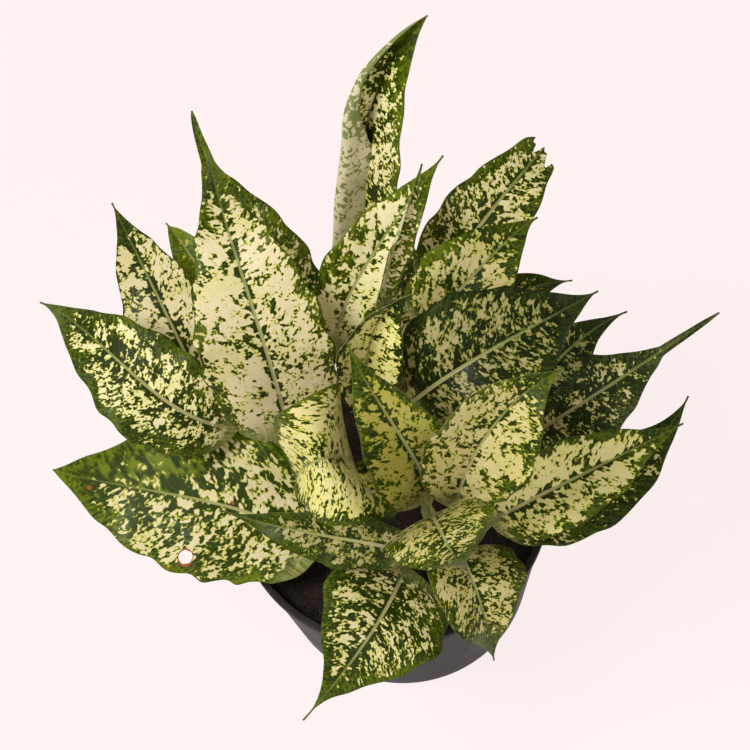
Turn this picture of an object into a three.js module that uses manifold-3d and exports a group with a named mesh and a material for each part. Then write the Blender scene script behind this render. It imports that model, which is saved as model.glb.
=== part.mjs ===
// Potted Chinese evergreen: a plastic pot filled with peat, with six short canes that carry
// long pointed leaves. Millimetres, +Z up, origin at the middle of the pot's underside.
import * as THREE from "three";
import { mergeVertices } from "three/addons/utils/BufferGeometryUtils.js";
import Module from "manifold-3d";

const wasm = await Module();
wasm.setup();

const RAD = Math.PI / 180;
const GAP = 0.3;
const WELD_DISTANCE = 0.0001;
const HALVINGS = 30;

// Pot
const POT_HEIGHT = 104;
const RIM_RADIUS = 85;
const LIP_HEIGHT = 5;
const LIP_STEP = 1.6;
const LIP_BEVEL = 0.7;
const NECK_RADIUS = RIM_RADIUS - LIP_STEP;
const BASE_RADIUS = 73;
const BASE_ROUND = 4;
const BEVEL_SHARE = 0.3;
const WALL = 2;
const MOUTH_RADIUS = NECK_RADIUS - WALL;
const POT_SIDES = 48;
const DRAIN_HOLES = 6;
const DRAIN_RADIUS = 4;
const DRAIN_CIRCLE = 50;
const DRAIN_SIDES = 12;
const POT_COLOUR = 0x4a4444;

// Soil
const SOIL_TOP = 96;
const SOIL_MIDDLE = 98;
const SHOULDER_WIDTH = 12;
const SOIL_COLOUR = 0x1c1512;

// Canes
const CANE_RADIUS = 6;
const CANE_TIP_RADIUS = 4.5;
const CANE_DEPTH = 45;
const CANE_SIDES = 10;
const CANE_STEPS = 9;
const HOLE_CLEARANCE = 0.8;
const CANE_COLOUR = 0x6f7a3c;

// Leaves
const EDGE_THICKNESS = 0.8;
const RIB_DEPTH = 1.2;
const STALK_HALF_WIDTH = 2.4;
const STALK_HALF_HEIGHT = 2;
const STALK_STATIONS = 5;
const STALK_START_ANGLE = 40 * RAD;
const STALK_START_PULL = 0.45;
const STALK_START_REACH = 18;
const COLLAR_PULL = 0.35;
const COLLAR_LENGTH = 0.3;
const BLADE_STATIONS = [0, 0.04, 0.11, 0.2, 0.3, 0.4, 0.5, 0.6, 0.7, 0.8, 0.89, 0.96, 1];
const BLADE_COLUMNS = [-1, -0.55, 0, 0.55, 1];
const TIP_HALF_WIDTH = 0.5;
const WIDEST_POWER = 0.75;
const BASE_ROUNDNESS = 0.65;
const TIP_DRAW = 0.85;
const WAVE_LAG = 2;
const LEAF_COLOUR = 0x9aa548;

// Each cane: where it stands in the soil and where its top is.
const CANES = {
  front: { foot: [24, -46], top: [21, -52, 168] },
  left: { foot: [-33, 8], top: [-30, 10, 150] },
  back_left: { foot: [-40, 32], top: [-42, 32, 136] },
  middle: { foot: [-2, 4], top: [2, 4, 180] },
  right: { foot: [46, -4], top: [48, -6, 144] },
  back: { foot: [14, 42], top: [14, 38, 176] },
};

// Each leaf: the cane and the height on it where the stalk leaves, four points along the
// midrib from the collar to the tip, the half width, the way its upper side faces, the
// upward fold of its left and right half in degrees at the midrib and how much more each
// curls towards its edge, and the wave of its margins. A few also twist, or are widest or
// rounder elsewhere, or have a tip that is longer, blunter or cut off.
const LEAVES = {
  front_1: {
    cane: "front", height: 162, rib: [[17, -44, 188], [12, -43, 236], [1, -31, 270], [-7, -14, 292]],
    half: 22, face: [0.3, -0.9, 0.4], fold: [6, 30], curl: [8, 8], wave: 1.5, beats: 2.5, widest: 0.58,
  },
  front_2: {
    cane: "front", height: 158, rib: [[29, -53, 194], [39, -53, 242], [57, -46, 270], [82, -39, 282]],
    half: 26, face: [0.1, -0.9, 0.5], fold: [8, 38], curl: [8, 8], wave: 1.5, beats: 2.5,
    widest: 0.85,
  },
  front_3: {
    cane: "front", height: 154, rib: [[17, -58, 194], [18, -76, 226], [21, -89, 230], [26, -92, 212]],
    half: 26, face: [0.1, -0.65, 0.7], fold: [8, 8], curl: [-14, -14], wave: 1.5,
    beats: 2.5,
  },
  front_4: {
    cane: "front", height: 142, rib: [[45, -58, 180], [71, -55, 194], [108, -42, 191], [147, -24, 178]],
    half: 21, face: [0, -0.5, 0.87], fold: [22, 10], curl: [-8, -8], wave: 2, beats: 3,
  },
  front_5: {
    cane: "front", height: 148, rib: [[28, -60, 152], [31, -79, 162], [34, -94, 148], [36, -104, 113]],
    half: 26, face: [0, -0.6, 0.8], fold: [4, 50], curl: [-12, -12], wave: 1.5, beats: 3,
    widest: 0.66,
  },
  front_6: {
    cane: "front", height: 126, rib: [[0, -54, 131], [-14, -82, 147], [-35, -103, 141], [-63, -117, 112]],
    half: 33, face: [0, -0.5, 0.87], fold: [12, 12], curl: [-10, -10], wave: 2, beats: 3, widest: 0.6,
    point: 1.5,
  },
  front_7: {
    cane: "front", height: 130, rib: [[51, -42, 145], [82, -40, 149], [123, -25, 146], [159, 3, 153]],
    half: 23, face: [0, -0.4, 0.9], fold: [2, 12], curl: [-8, -8], wave: 2, beats: 3,
  },
  front_8: {
    cane: "front", height: 134, rib: [[4, -58, 159], [-22, -51, 169], [-50, -42, 174], [-85, -23, 170]],
    half: 15, face: [0, -0.7, 0.7], fold: [12, 12], curl: [0, 0], wave: 1.5, beats: 3,
  },
  front_9: {
    cane: "front", height: 116, rib: [[-41, -32, 118], [-79, -7, 132], [-125, 11, 138], [-179, 40, 125]],
    half: 40, face: [0, -0.4, 0.9], fold: [6, 6], curl: [-8, -18], wave: 2.5, beats: 3,
    widest: 0.85, round: 0.4, point: 0.6,
  },
  left_1: {
    cane: "left", height: 142, rib: [[-17, -21, 196], [-23, -40, 240], [-35, -42, 240], [-44, -28, 196]],
    half: 33, face: [-0.1, -0.7, 0.7], fold: [28, 14], curl: [0, 0], wave: 1.5, beats: 2.5,
  },
  left_2: {
    cane: "left", height: 147, rib: [[-45, 4, 184], [-46, 19, 246], [-52, 57, 280], [-60, 126, 262]],
    half: 31, face: [0, -0.5, 0.87], fold: [10, 10], curl: [-6, -6], wave: 2.5, beats: 3, widest: 0.6,
  },
  left_3: {
    cane: "left", height: 126, rib: [[-73, 29, 158], [-103, 32, 190], [-132, 65, 201], [-169, 116, 174]],
    half: 26, face: [-0.2, -0.3, 0.9], fold: [12, 6], curl: [-8, -8], wave: 2.5, beats: 3,
  },
  back_left_1: {
    cane: "back_left", height: 132,
    rib: [[-35, 24, 185], [-40, 57, 220], [-56, 110, 236], [-70, 188, 222]],
    half: 27, face: [0, -0.4, 0.9], fold: [10, 10], curl: [-8, -8], wave: 2.5, beats: 3,
    point: 2.2, strip: 8,
  },
  back_left_2: {
    cane: "back_left", height: 124,
    rib: [[-85, 42, 144], [-96, 77, 166], [-109, 117, 184], [-124, 166, 184]],
    half: 24, face: [-0.2, -0.4, 0.9], fold: [12, 12], curl: [-8, -8], wave: 2, beats: 3,
  },
  back_left_3: {
    cane: "back_left", height: 118,
    rib: [[-62, 84, 140], [-76, 108, 170], [-87, 129, 183], [-96, 149, 180]],
    half: 12, face: [0, -0.4, 0.9], fold: [14, 14], curl: [0, 0], wave: 1, beats: 2.5,
  },
  middle_1: {
    cane: "middle", height: 174, rib: [[-5, -16, 197], [-2, -3, 236], [5, 6, 266], [24, 8, 287]],
    half: 19.5, face: [0.3, -0.7, 0.6], fold: [14, 56], curl: [10, 10], wave: 1, beats: 2,
    widest: 1.2, round: 0.6,
  },
  middle_2: {
    cane: "middle", height: 166, rib: [[14, -14, 225], [39, -15, 254], [73, -3, 258], [112, 21, 241]],
    half: 31, face: [0, -0.5, 0.87], fold: [10, 10], curl: [-8, -8], wave: 2, beats: 3,
  },
  middle_3: {
    cane: "middle", height: 158, rib: [[11, 14, 272], [17, 18, 302], [27, 25, 325], [37, 42, 333]],
    half: 8, face: [0.5, -0.8, 0.2], fold: [40, 50], curl: [0, 0], wave: 1, beats: 2,
  },
  middle_4: {
    cane: "middle", height: 136, rib: [[5, -9, 150], [-5, -22, 165], [-18, -35, 167], [-34, -47, 157]],
    half: 16, face: [0, -0.5, 0.87], fold: [10, 10], curl: [0, 0], wave: 1.5, beats: 3,
  },
  back_1: {
    cane: "back", height: 172, rib: [[-7, 82, 186], [7, 96, 238], [22, 107, 297], [53, 119, 338]],
    half: 34, face: [0.2, -0.9, 0.4], fold: [14, 74], curl: [0, 0], wave: 0, beats: 2, point: 0.35,
    roll: { angle: 172, turn: 0.3, first: 0.3, last: 0.7, over: [0.5, 0.82] },
    columns: [-1, -0.9, -0.8, -0.7, -0.6, -0.52, -0.44, -0.37, -0.3, 0, 0.5, 1],
  },
  back_2: {
    cane: "back", height: 164, rib: [[-14, 30, 220], [-1, 39, 252], [23, 56, 275], [51, 82, 284]],
    half: 18.5, face: [0, -0.7, 0.7], fold: [10, 14], curl: [-6, -6], wave: 2, beats: 2.5,
  },
  back_3: {
    cane: "back", height: 156, rib: [[38, 47, 224], [60, 59, 250], [88, 84, 256], [122, 126, 240]],
    half: 21, face: [0, -0.5, 0.87], fold: [10, 10], curl: [-6, -6], wave: 2, beats: 3,
    widest: 0.6, point: 0.3, trim: 0.8,
  },
  back_4: {
    cane: "back", height: 148, rib: [[26, 24, 236], [43, 22, 256], [65, 35, 266], [90, 55, 260]],
    half: 22, face: [0, -0.5, 0.87], fold: [8, 16], curl: [0, 0], wave: 1.5, beats: 2.5,
  },
  back_5: {
    cane: "back", height: 136, rib: [[14, 74, 134], [16, 98, 152], [18, 126, 150], [18, 150, 130]],
    half: 22, face: [0, 0.2, 1], fold: [10, 10], curl: [-6, -6], wave: 2, beats: 3,
  },
  right_1: {
    cane: "right", height: 140, rib: [[52, 32, 194], [63, 38, 213], [83, 43, 218], [106, 46, 214]],
    half: 14, face: [0, 0.1, 1], fold: [10, 10], curl: [0, 0], wave: 1.5, beats: 3,
  },
  right_2: {
    cane: "right", height: 132, rib: [[51, -9, 178], [75, -5, 206], [99, 10, 214], [130, 29, 204]],
    half: 15, face: [0, -0.5, 0.87], fold: [12, 12], curl: [-6, -6], wave: 2, beats: 3,
  },
  right_3: {
    cane: "right", height: 124, rib: [[65, -9, 155], [97, -12, 193], [134, 4, 196], [180, 33, 180]],
    half: 23, face: [0.5, -0.1, 0.85], fold: [12, 12], curl: [-6, -6], twist: 20, wave: 2, beats: 3,
    widest: 0.6, point: 3.4, strip: 5,
  },
  right_4: {
    cane: "right", height: 116, rib: [[60, 30, 130], [76, 50, 150], [90, 74, 150], [100, 98, 134]],
    half: 21, face: [0.1, 0.1, 1], fold: [10, 10], curl: [-6, -6], wave: 2, beats: 3,
  },
};

const vector = (point) => new THREE.Vector3(...point);

function matte(colour, roughness) {
  return new THREE.MeshStandardMaterial({ color: colour, roughness, metalness: 0 });
}

function solid(geometry) {
  const bare = geometry.clone();
  bare.deleteAttribute("normal");
  bare.deleteAttribute("uv");
  const merged = mergeVertices(bare, WELD_DISTANCE);
  return new wasm.Manifold(new wasm.Mesh({
    numProp: 3,
    vertProperties: new Float32Array(merged.attributes.position.array),
    triVerts: new Uint32Array(merged.index.array),
  }));
}

function meshed(positions, index) {
  const geometry = new THREE.BufferGeometry();
  geometry.setAttribute("position", new THREE.Float32BufferAttribute(positions, 3));
  geometry.setIndex(index);
  return geometry;
}

function geometryOf(manifold) {
  const { vertProperties, triVerts } = manifold.getMesh();
  return meshed(Array.from(vertProperties), Array.from(triVerts));
}

// Lathe turns about Y, so its axis is laid along Z.
function turned(profile, sides) {
  const points = profile.map(([radius, height]) => new THREE.Vector2(radius, height));
  return new THREE.LatheGeometry(points, sides).rotateX(Math.PI / 2);
}

function upright(radius, height, sides) {
  return new THREE.CylinderGeometry(radius, radius, height, sides).rotateX(Math.PI / 2);
}

// Pot: tapered wall with a small turned lip, a rounded foot and a ring of drain holes.
function potGeometry() {
  const lipBottom = POT_HEIGHT - LIP_HEIGHT;
  const profile = [
    [0, 0],
    [BASE_RADIUS - BASE_ROUND, 0],
    [BASE_RADIUS - BASE_ROUND * BEVEL_SHARE, BASE_ROUND * BEVEL_SHARE],
    [BASE_RADIUS, BASE_ROUND],
    [NECK_RADIUS, lipBottom],
    [RIM_RADIUS, lipBottom + LIP_BEVEL],
    [RIM_RADIUS, POT_HEIGHT - LIP_BEVEL],
    [RIM_RADIUS - LIP_BEVEL, POT_HEIGHT],
    [MOUTH_RADIUS + LIP_BEVEL, POT_HEIGHT],
    [MOUTH_RADIUS, POT_HEIGHT - LIP_BEVEL],
    [BASE_RADIUS - WALL, BASE_ROUND + WALL],
    [0, BASE_ROUND + WALL],
  ];
  let pot = solid(turned(profile, POT_SIDES));
  for (let i = 0; i < DRAIN_HOLES; i += 1) {
    const angle = (i + 0.5) * 2 * Math.PI / DRAIN_HOLES;
    const hole = upright(DRAIN_RADIUS, 4 * BASE_ROUND, DRAIN_SIDES);
    hole.translate(DRAIN_CIRCLE * Math.cos(angle), DRAIN_CIRCLE * Math.sin(angle), 0);
    pot = pot.subtract(solid(hole));
  }
  return geometryOf(pot);
}

function wallInside(height) {
  const foot = BASE_ROUND + WALL;
  const share = (height - foot) / (POT_HEIGHT - LIP_BEVEL - foot);
  return THREE.MathUtils.lerp(BASE_RADIUS - WALL, MOUTH_RADIUS, share);
}

// Soil: fills the pot to just under the rim, with a plain hole for each cane.
function soilGeometry() {
  const foot = BASE_ROUND + WALL + GAP;
  const edge = wallInside(SOIL_TOP) - GAP;
  const profile = [
    [0, foot],
    [wallInside(foot) - GAP, foot],
    [edge, SOIL_TOP],
    [edge - SHOULDER_WIDTH, (SOIL_TOP + SOIL_MIDDLE) / 2],
    [edge - 3 * SHOULDER_WIDTH, SOIL_MIDDLE],
    [0, SOIL_MIDDLE],
  ];
  let soil = solid(turned(profile, POT_SIDES));
  const holeBottom = SOIL_MIDDLE - CANE_DEPTH - GAP;
  const holeLength = 2 * CANE_DEPTH;
  for (const { foot: [x, y] } of Object.values(CANES)) {
    const hole = upright(CANE_RADIUS + HOLE_CLEARANCE, holeLength, CANE_SIDES);
    hole.translate(x, y, holeBottom + holeLength / 2);
    soil = soil.subtract(solid(hole));
  }
  return geometryOf(soil);
}

// The line of a cane: straight up out of its hole, then leaning to its top.
function caneCurve({ foot: [x, y], top }) {
  return new THREE.CatmullRomCurve3([
    vector([x, y, SOIL_MIDDLE - CANE_DEPTH]),
    vector([x, y, SOIL_MIDDLE]),
    vector([(x + top[0]) / 2, (y + top[1]) / 2, (SOIL_MIDDLE + top[2]) / 2]),
    vector(top),
  ], false, "chordal");
}

function caneRadius(share) {
  return THREE.MathUtils.lerp(CANE_RADIUS, CANE_TIP_RADIUS, Math.max(0, share * 2 - 1));
}

// How far along a rising curve a given height is reached, found by halving.
function shareAtHeight(curve, height) {
  let low = 0;
  let high = 1;
  for (let i = 0; i < HALVINGS; i += 1) {
    const middle = (low + high) / 2;
    if (curve.getPoint(middle).z < height) {
      low = middle;
    } else {
      high = middle;
    }
  }
  return (low + high) / 2;
}

// A cane: round, growing thinner over its upper half, with flat ends.
function caneGeometry(cane) {
  const curve = caneCurve(cane);
  const positions = [];
  const index = [];
  for (let i = 0; i <= CANE_STEPS; i += 1) {
    const share = i / CANE_STEPS;
    const centre = curve.getPoint(share);
    const radius = caneRadius(share);
    for (let k = 0; k < CANE_SIDES; k += 1) {
      const angle = k * 2 * Math.PI / CANE_SIDES;
      positions.push(centre.x + radius * Math.cos(angle), centre.y + radius * Math.sin(angle), centre.z);
    }
  }
  for (let i = 0; i < CANE_STEPS; i += 1) {
    for (let k = 0; k < CANE_SIDES; k += 1) {
      const a = i * CANE_SIDES + k;
      const b = i * CANE_SIDES + (k + 1) % CANE_SIDES;
      index.push(a, b, b + CANE_SIDES, a, b + CANE_SIDES, a + CANE_SIDES);
    }
  }
  const last = CANE_STEPS * CANE_SIDES;
  for (let k = 1; k < CANE_SIDES - 1; k += 1) {
    index.push(0, k + 1, k, last, last + k, last + k + 1);
  }
  return meshed(positions, index);
}

// The cubic curve that passes through four points at 0, 1/3, 2/3 and 1.
function through(points) {
  const [p0, p1, p2, p3] = points.map(vector);
  const mix = (a, b, c, d) => p0.clone().multiplyScalar(a).addScaledVector(p1, b)
    .addScaledVector(p2, c).addScaledVector(p3, d);
  const firstHandle = mix(-5 / 6, 3, -1.5, 1 / 3);
  const lastHandle = mix(1 / 3, -1.5, 3, -5 / 6);
  return new THREE.CubicBezierCurve3(p0, firstHandle, lastHandle, p3);
}

// The stalk leaves the cane sideways, turns up, and runs into the midrib at the collar.
function stalkCurve(leaf, rib) {
  const cane = caneCurve(CANES[leaf.cane]);
  const share = shareAtHeight(cane, leaf.height);
  const axis = cane.getPoint(share);
  const collar = rib.getPoint(0);
  const outward = new THREE.Vector3(collar.x - axis.x, collar.y - axis.y, 0).normalize();
  const start = outward.clone().multiplyScalar(Math.cos(STALK_START_ANGLE));
  start.z = Math.sin(STALK_START_ANGLE);
  const halfHeight = STALK_HALF_HEIGHT + EDGE_THICKNESS / 2;
  const seat = caneRadius(share) + GAP + halfHeight * Math.sin(STALK_START_ANGLE);
  const root = axis.clone().addScaledVector(outward, seat);
  const reach = root.distanceTo(collar);
  const firstPull = Math.min(STALK_START_PULL * reach, STALK_START_REACH);
  const firstHandle = root.clone().addScaledVector(start, firstPull);
  const lastHandle = collar.clone().addScaledVector(rib.getTangent(0), -COLLAR_PULL * reach);
  return new THREE.CubicBezierCurve3(root, firstHandle, lastHandle, collar);
}

// Half width of the blade at a share t of its length: round at the base, a drawn-out tip.
function bladeHalf(leaf, t) {
  const widest = leaf.widest ?? WIDEST_POWER;
  const round = leaf.round ?? BASE_ROUNDNESS;
  const point = leaf.point ?? TIP_DRAW;
  return leaf.half * Math.sin(Math.PI * t ** widest) ** (round + point * t);
}

// Across the blade, s runs from -1 at the left edge to 1 at the right. Each half leaves the
// midrib at its fold angle and curls on at a steady rate, so it is part of a circle. Gives how
// far out and up a place is, and the angle at which the blade rises there.
function across(leaf, half, s, t) {
  const side = s < 0 ? 0 : 1;
  const fold = leaf.fold[side] * RAD;
  const curl = leaf.curl[side] * RAD;
  const share = Math.abs(s);
  if (leaf.roll && s < 0) {
    return rolledOver(leaf.roll, fold, half, share, t);
  }
  const slope = fold + curl * share;
  if (curl === 0) {
    return [half * s * Math.cos(fold), half * share * Math.sin(fold), Math.sign(s) * slope];
  }
  const out = (Math.sin(slope) - Math.sin(fold)) / curl;
  const rise = (Math.cos(fold) - Math.cos(slope)) / curl;
  return [half * Math.sign(s) * out, half * rise, Math.sign(s) * slope];
}

// A left half that is rolled over: flat out to its fold line, then round a tight turn, then
// flat again. The fold line lies further out towards the tip.
function rolledOver(roll, fold, half, share, t) {
  const bend = roll.angle * RAD;
  const start = THREE.MathUtils.lerp(roll.first, roll.last, THREE.MathUtils.smoothstep(t, ...roll.over));
  const radius = roll.turn / bend;
  const slope = fold + THREE.MathUtils.clamp((share - start) / radius, 0, bend);
  const flat = Math.min(share, start);
  const rest = Math.max(0, share - start - roll.turn);
  const out = flat * Math.cos(fold) + radius * (Math.sin(slope) - Math.sin(fold))
    + rest * Math.cos(slope);
  const rise = flat * Math.sin(fold) + radius * (Math.cos(fold) - Math.cos(slope))
    + rest * Math.sin(slope);
  return [-half * out, half * rise, -slope];
}

// Stations along the stalk and the blade, each with its centre, its way right and its way up.
function leafStations(leaf) {
  const rib = through(leaf.rib);
  const stalk = stalkCurve(leaf, rib);
  const side = rib.getTangent(0.5).cross(vector(leaf.face)).normalize();
  const stations = BLADE_STATIONS.map((share) => {
    const t = share * (leaf.trim ?? 1);
    const along = rib.getTangent(t);
    const right = side.clone().addScaledVector(along, -side.dot(along)).normalize();
    right.applyAxisAngle(along, (leaf.twist ?? 0) * RAD * (t - 0.5));
    return { t, centre: rib.getPoint(t), right, up: right.clone().cross(along), stalk: false };
  });
  let right = stations[0].right;
  for (let i = STALK_STATIONS - 1; i >= 0; i -= 1) {
    const share = i / STALK_STATIONS;
    const along = stalk.getTangent(share);
    right = right.clone().addScaledVector(along, -right.dot(along)).normalize();
    const up = right.clone().cross(along);
    stations.unshift({ t: 0, centre: stalk.getPoint(share), right, up, stalk: true });
  }
  return stations;
}

// A leaf is a thin sheet with a raised midrib below, and its stalk is a lens in section.
function leafGeometry(leaf) {
  const columns = leaf.columns ?? BLADE_COLUMNS;
  const rings = leafStations(leaf).map((station) => {
    const { t, centre, right, up } = station;
    const stalkShare = Math.max(0, 1 - t / COLLAR_LENGTH) ** 2;
    const blade = station.stalk ? 0 : bladeHalf(leaf, t);
    const strip = (leaf.strip ?? 0) * Math.sqrt(1 - t) * (station.stalk ? 0 : 1);
    const half = Math.max(TIP_HALF_WIDTH, strip, blade + STALK_HALF_WIDTH * stalkShare);
    const sheet = 1 - stalkShare;
    const place = (s, face) => {
      const [x, z, slope] = across(leaf, half, s, t);
      const beat = leaf.wave * Math.sin(2 * Math.PI * leaf.beats * t + (s < 0 ? 0 : WAVE_LAG));
      const wave = beat * s * s * Math.sin(Math.PI * t);
      const stalkRound = STALK_HALF_HEIGHT * Math.sqrt(1 - s * s);
      const ribDepth = face < 0 && s === 0 ? RIB_DEPTH * (1 - t) : 0;
      const thick = face * (EDGE_THICKNESS / 2 + sheet * ribDepth + (1 - sheet) * stalkRound);
      const tilt = sheet * slope;
      return centre.clone()
        .addScaledVector(right, THREE.MathUtils.lerp(half * s, x, sheet) - thick * Math.sin(tilt))
        .addScaledVector(up, sheet * (z + wave) + thick * Math.cos(tilt));
    };
    return [...columns.map((s) => place(s, 1)), ...columns.map((s) => place(s, -1))];
  });
  return sheetGeometry(rings, columns);
}

// A thin closed leaf: the upper and lower face are split into triangles alike.
function sheetGeometry(rings, columns) {
  const count = columns.length;
  const positions = rings.flat().flatMap((point) => point.toArray());
  const top = (i, j) => i * 2 * count + j;
  const bottom = (i, j) => top(i, j) + count;
  const index = [];
  const last = rings.length - 1;
  const edge = count - 1;
  for (let i = 0; i < last; i += 1) {
    for (let j = 0; j < edge; j += 1) {
      const corners = [[i, j], [i, j + 1], [i + 1, j + 1], [i + 1, j]];
      const turn = columns[j] < 0 ? 0 : 1;
      const [a, b, c, d] = [...corners.slice(turn), ...corners.slice(0, turn)];
      index.push(top(...a), top(...b), top(...c), top(...a), top(...c), top(...d));
      index.push(bottom(...a), bottom(...c), bottom(...b));
      index.push(bottom(...a), bottom(...d), bottom(...c));
    }
    index.push(bottom(i, edge), bottom(i + 1, edge), top(i + 1, edge));
    index.push(bottom(i, edge), top(i + 1, edge), top(i, edge));
    index.push(bottom(i, 0), top(i + 1, 0), bottom(i + 1, 0));
    index.push(bottom(i, 0), top(i, 0), top(i + 1, 0));
  }
  for (let j = 0; j < edge; j += 1) {
    index.push(top(0, j), bottom(0, j), bottom(0, j + 1));
    index.push(top(0, j), bottom(0, j + 1), top(0, j + 1));
    index.push(top(last, j), bottom(last, j + 1), bottom(last, j));
    index.push(top(last, j), top(last, j + 1), bottom(last, j + 1));
  }
  return meshed(positions, index);
}

const plant = new THREE.Group();

function addPiece(name, geometry, material) {
  const mesh = new THREE.Mesh(geometry, material);
  mesh.name = name;
  plant.add(mesh);
}

addPiece("pot", potGeometry(), matte(POT_COLOUR, 0.5));
addPiece("soil", soilGeometry(), matte(SOIL_COLOUR, 1));
for (const [name, cane] of Object.entries(CANES)) {
  addPiece(`cane_${name}`, caneGeometry(cane), matte(CANE_COLOUR, 0.6));
}
for (const [name, leaf] of Object.entries(LEAVES)) {
  addPiece(`leaf_${name}`, leafGeometry(leaf), matte(LEAF_COLOUR, 0.4));
}

export default plant;
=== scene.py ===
"""A potted Chinese evergreen: long pointed leaves mottled cream and green, on curved stalks from
six short canes, in peat in a round tapered plastic pot.

The solids of the pot, the peat, the canes and the leaves come with the frame. Each is replaced
here by a finer surface of the same form, worked out as whole arrays: a leaf is the same sheet
laid across the same midrib, only with a thinner margin, lateral veins, a keel and a groove.
Lengths in the tables are millimetres, as in the part's source; meshes are in metres.
"""

import math
from statistics import NormalDist

import bpy
import numpy as np
from mathutils import Matrix


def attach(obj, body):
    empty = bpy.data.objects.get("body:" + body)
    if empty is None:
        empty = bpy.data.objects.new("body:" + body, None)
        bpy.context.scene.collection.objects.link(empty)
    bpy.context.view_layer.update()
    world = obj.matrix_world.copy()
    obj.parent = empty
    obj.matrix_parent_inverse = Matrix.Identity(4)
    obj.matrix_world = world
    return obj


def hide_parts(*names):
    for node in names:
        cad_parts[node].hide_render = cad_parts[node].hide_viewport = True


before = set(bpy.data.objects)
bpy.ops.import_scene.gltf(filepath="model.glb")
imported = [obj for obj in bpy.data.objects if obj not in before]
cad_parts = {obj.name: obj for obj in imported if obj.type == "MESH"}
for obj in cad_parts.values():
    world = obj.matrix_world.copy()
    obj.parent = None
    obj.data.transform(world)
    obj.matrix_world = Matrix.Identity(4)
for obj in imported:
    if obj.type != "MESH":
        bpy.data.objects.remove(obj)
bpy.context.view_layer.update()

MM = 0.001

# Pot and peat.
POT_HEIGHT = 104
RIM_RADIUS = 85
LIP_HEIGHT = 5
NECK_RADIUS = 83.4
BASE_RADIUS = 73
BASE_ROUND = 4
BASE_FLOOR = 6
WALL = 2
MOUTH_RADIUS = 81.4
POT_SIDES = 192
DRAIN_HOLES = 6
DRAIN_RADIUS = 4
DRAIN_CIRCLE = 50
DRAIN_BAND = (38, 62)
SOIL_TOP = 96
SOIL_MIDDLE = 98
SOIL_FALL = 1.9
SOIL_FALL_WIDTH = 36
# Unevenness of the peat: height, size and seed of each grain.
SOIL_GRAINS = ((0.9, 9, 1), (0.7, 3.6, 2), (0.5, 1.7, 3))
CRUMBS = 420

# Canes.
CANE_DEPTH = 45
CANE_RADIUS = 6
CANE_TIP_RADIUS = 4.5
CANE_END = 3
FIRST_SCAR = 102
SCAR_SPACING = 7.5
CANES = {
    "front": dict(foot=(24, -46), top=(21, -52, 168)),
    "left": dict(foot=(-33, 8), top=(-30, 10, 150)),
    "back_left": dict(foot=(-40, 32), top=(-42, 32, 136)),
    "middle": dict(foot=(-2, 4), top=(2, 4, 180)),
    "right": dict(foot=(46, -4), top=(48, -6, 144)),
    "back": dict(foot=(14, 42), top=(14, 38, 176)),
}

# Stalks and blades.
EDGE_THICKNESS = 0.8
STALK_HALF_WIDTH = 2.4
STALK_HALF_HEIGHT = 2
STALK_START_ANGLE = 40
STALK_START_PULL = 0.45
STALK_START_REACH = 18
COLLAR_PULL = 0.35
COLLAR_LENGTH = 0.3
TIP_HALF_WIDTH = 0.5
WAVE_LAG = 2
GAP = 0.3
# What the finer leaf has beyond its solid. A ripple and a ragged margin, as height and beats in
# 100 mm of each wave; pleats along veins that run forward by VEIN_RUN for each millimetre out,
# so that a step of one is VEIN_STEP long; a keel and grooves; a sheath at the stalk's foot,
# and the rows by which it runs on towards the cane.
RIPPLE = ((0.6, 5), (0.3, 8.3))
RAGGED = ((0.034, 4.1), (0.007, 7.7))
PLEAT = 0.1
VEIN_RUN = 0.9
VEIN_STEP = 1.345
VEIN_SPACING = 10.4
BLADE_SHARE = 0.8
MARGIN_WIDTH = 4
KEEL = 0.95
GROOVE = 0.35
RIB_WIDTH = 1.5
STALK_GROOVE = 1.0
STALK_GROOVE_WIDTH = 0.45
SHEATH_LENGTH = 16
SHEATH_WIDER = 1.5
SHEATH_DEEPER = 0.4
STALK_RUN_ON = (-3.4, -1.6)
# About how far apart the leaf's points lie, and the band round a hole that is laid out anew.
GRID_ACROSS = 1.45
GRID_ALONG = 1.9
STALK_GRID = 3
HOLE_BORDER = 2.2

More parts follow.
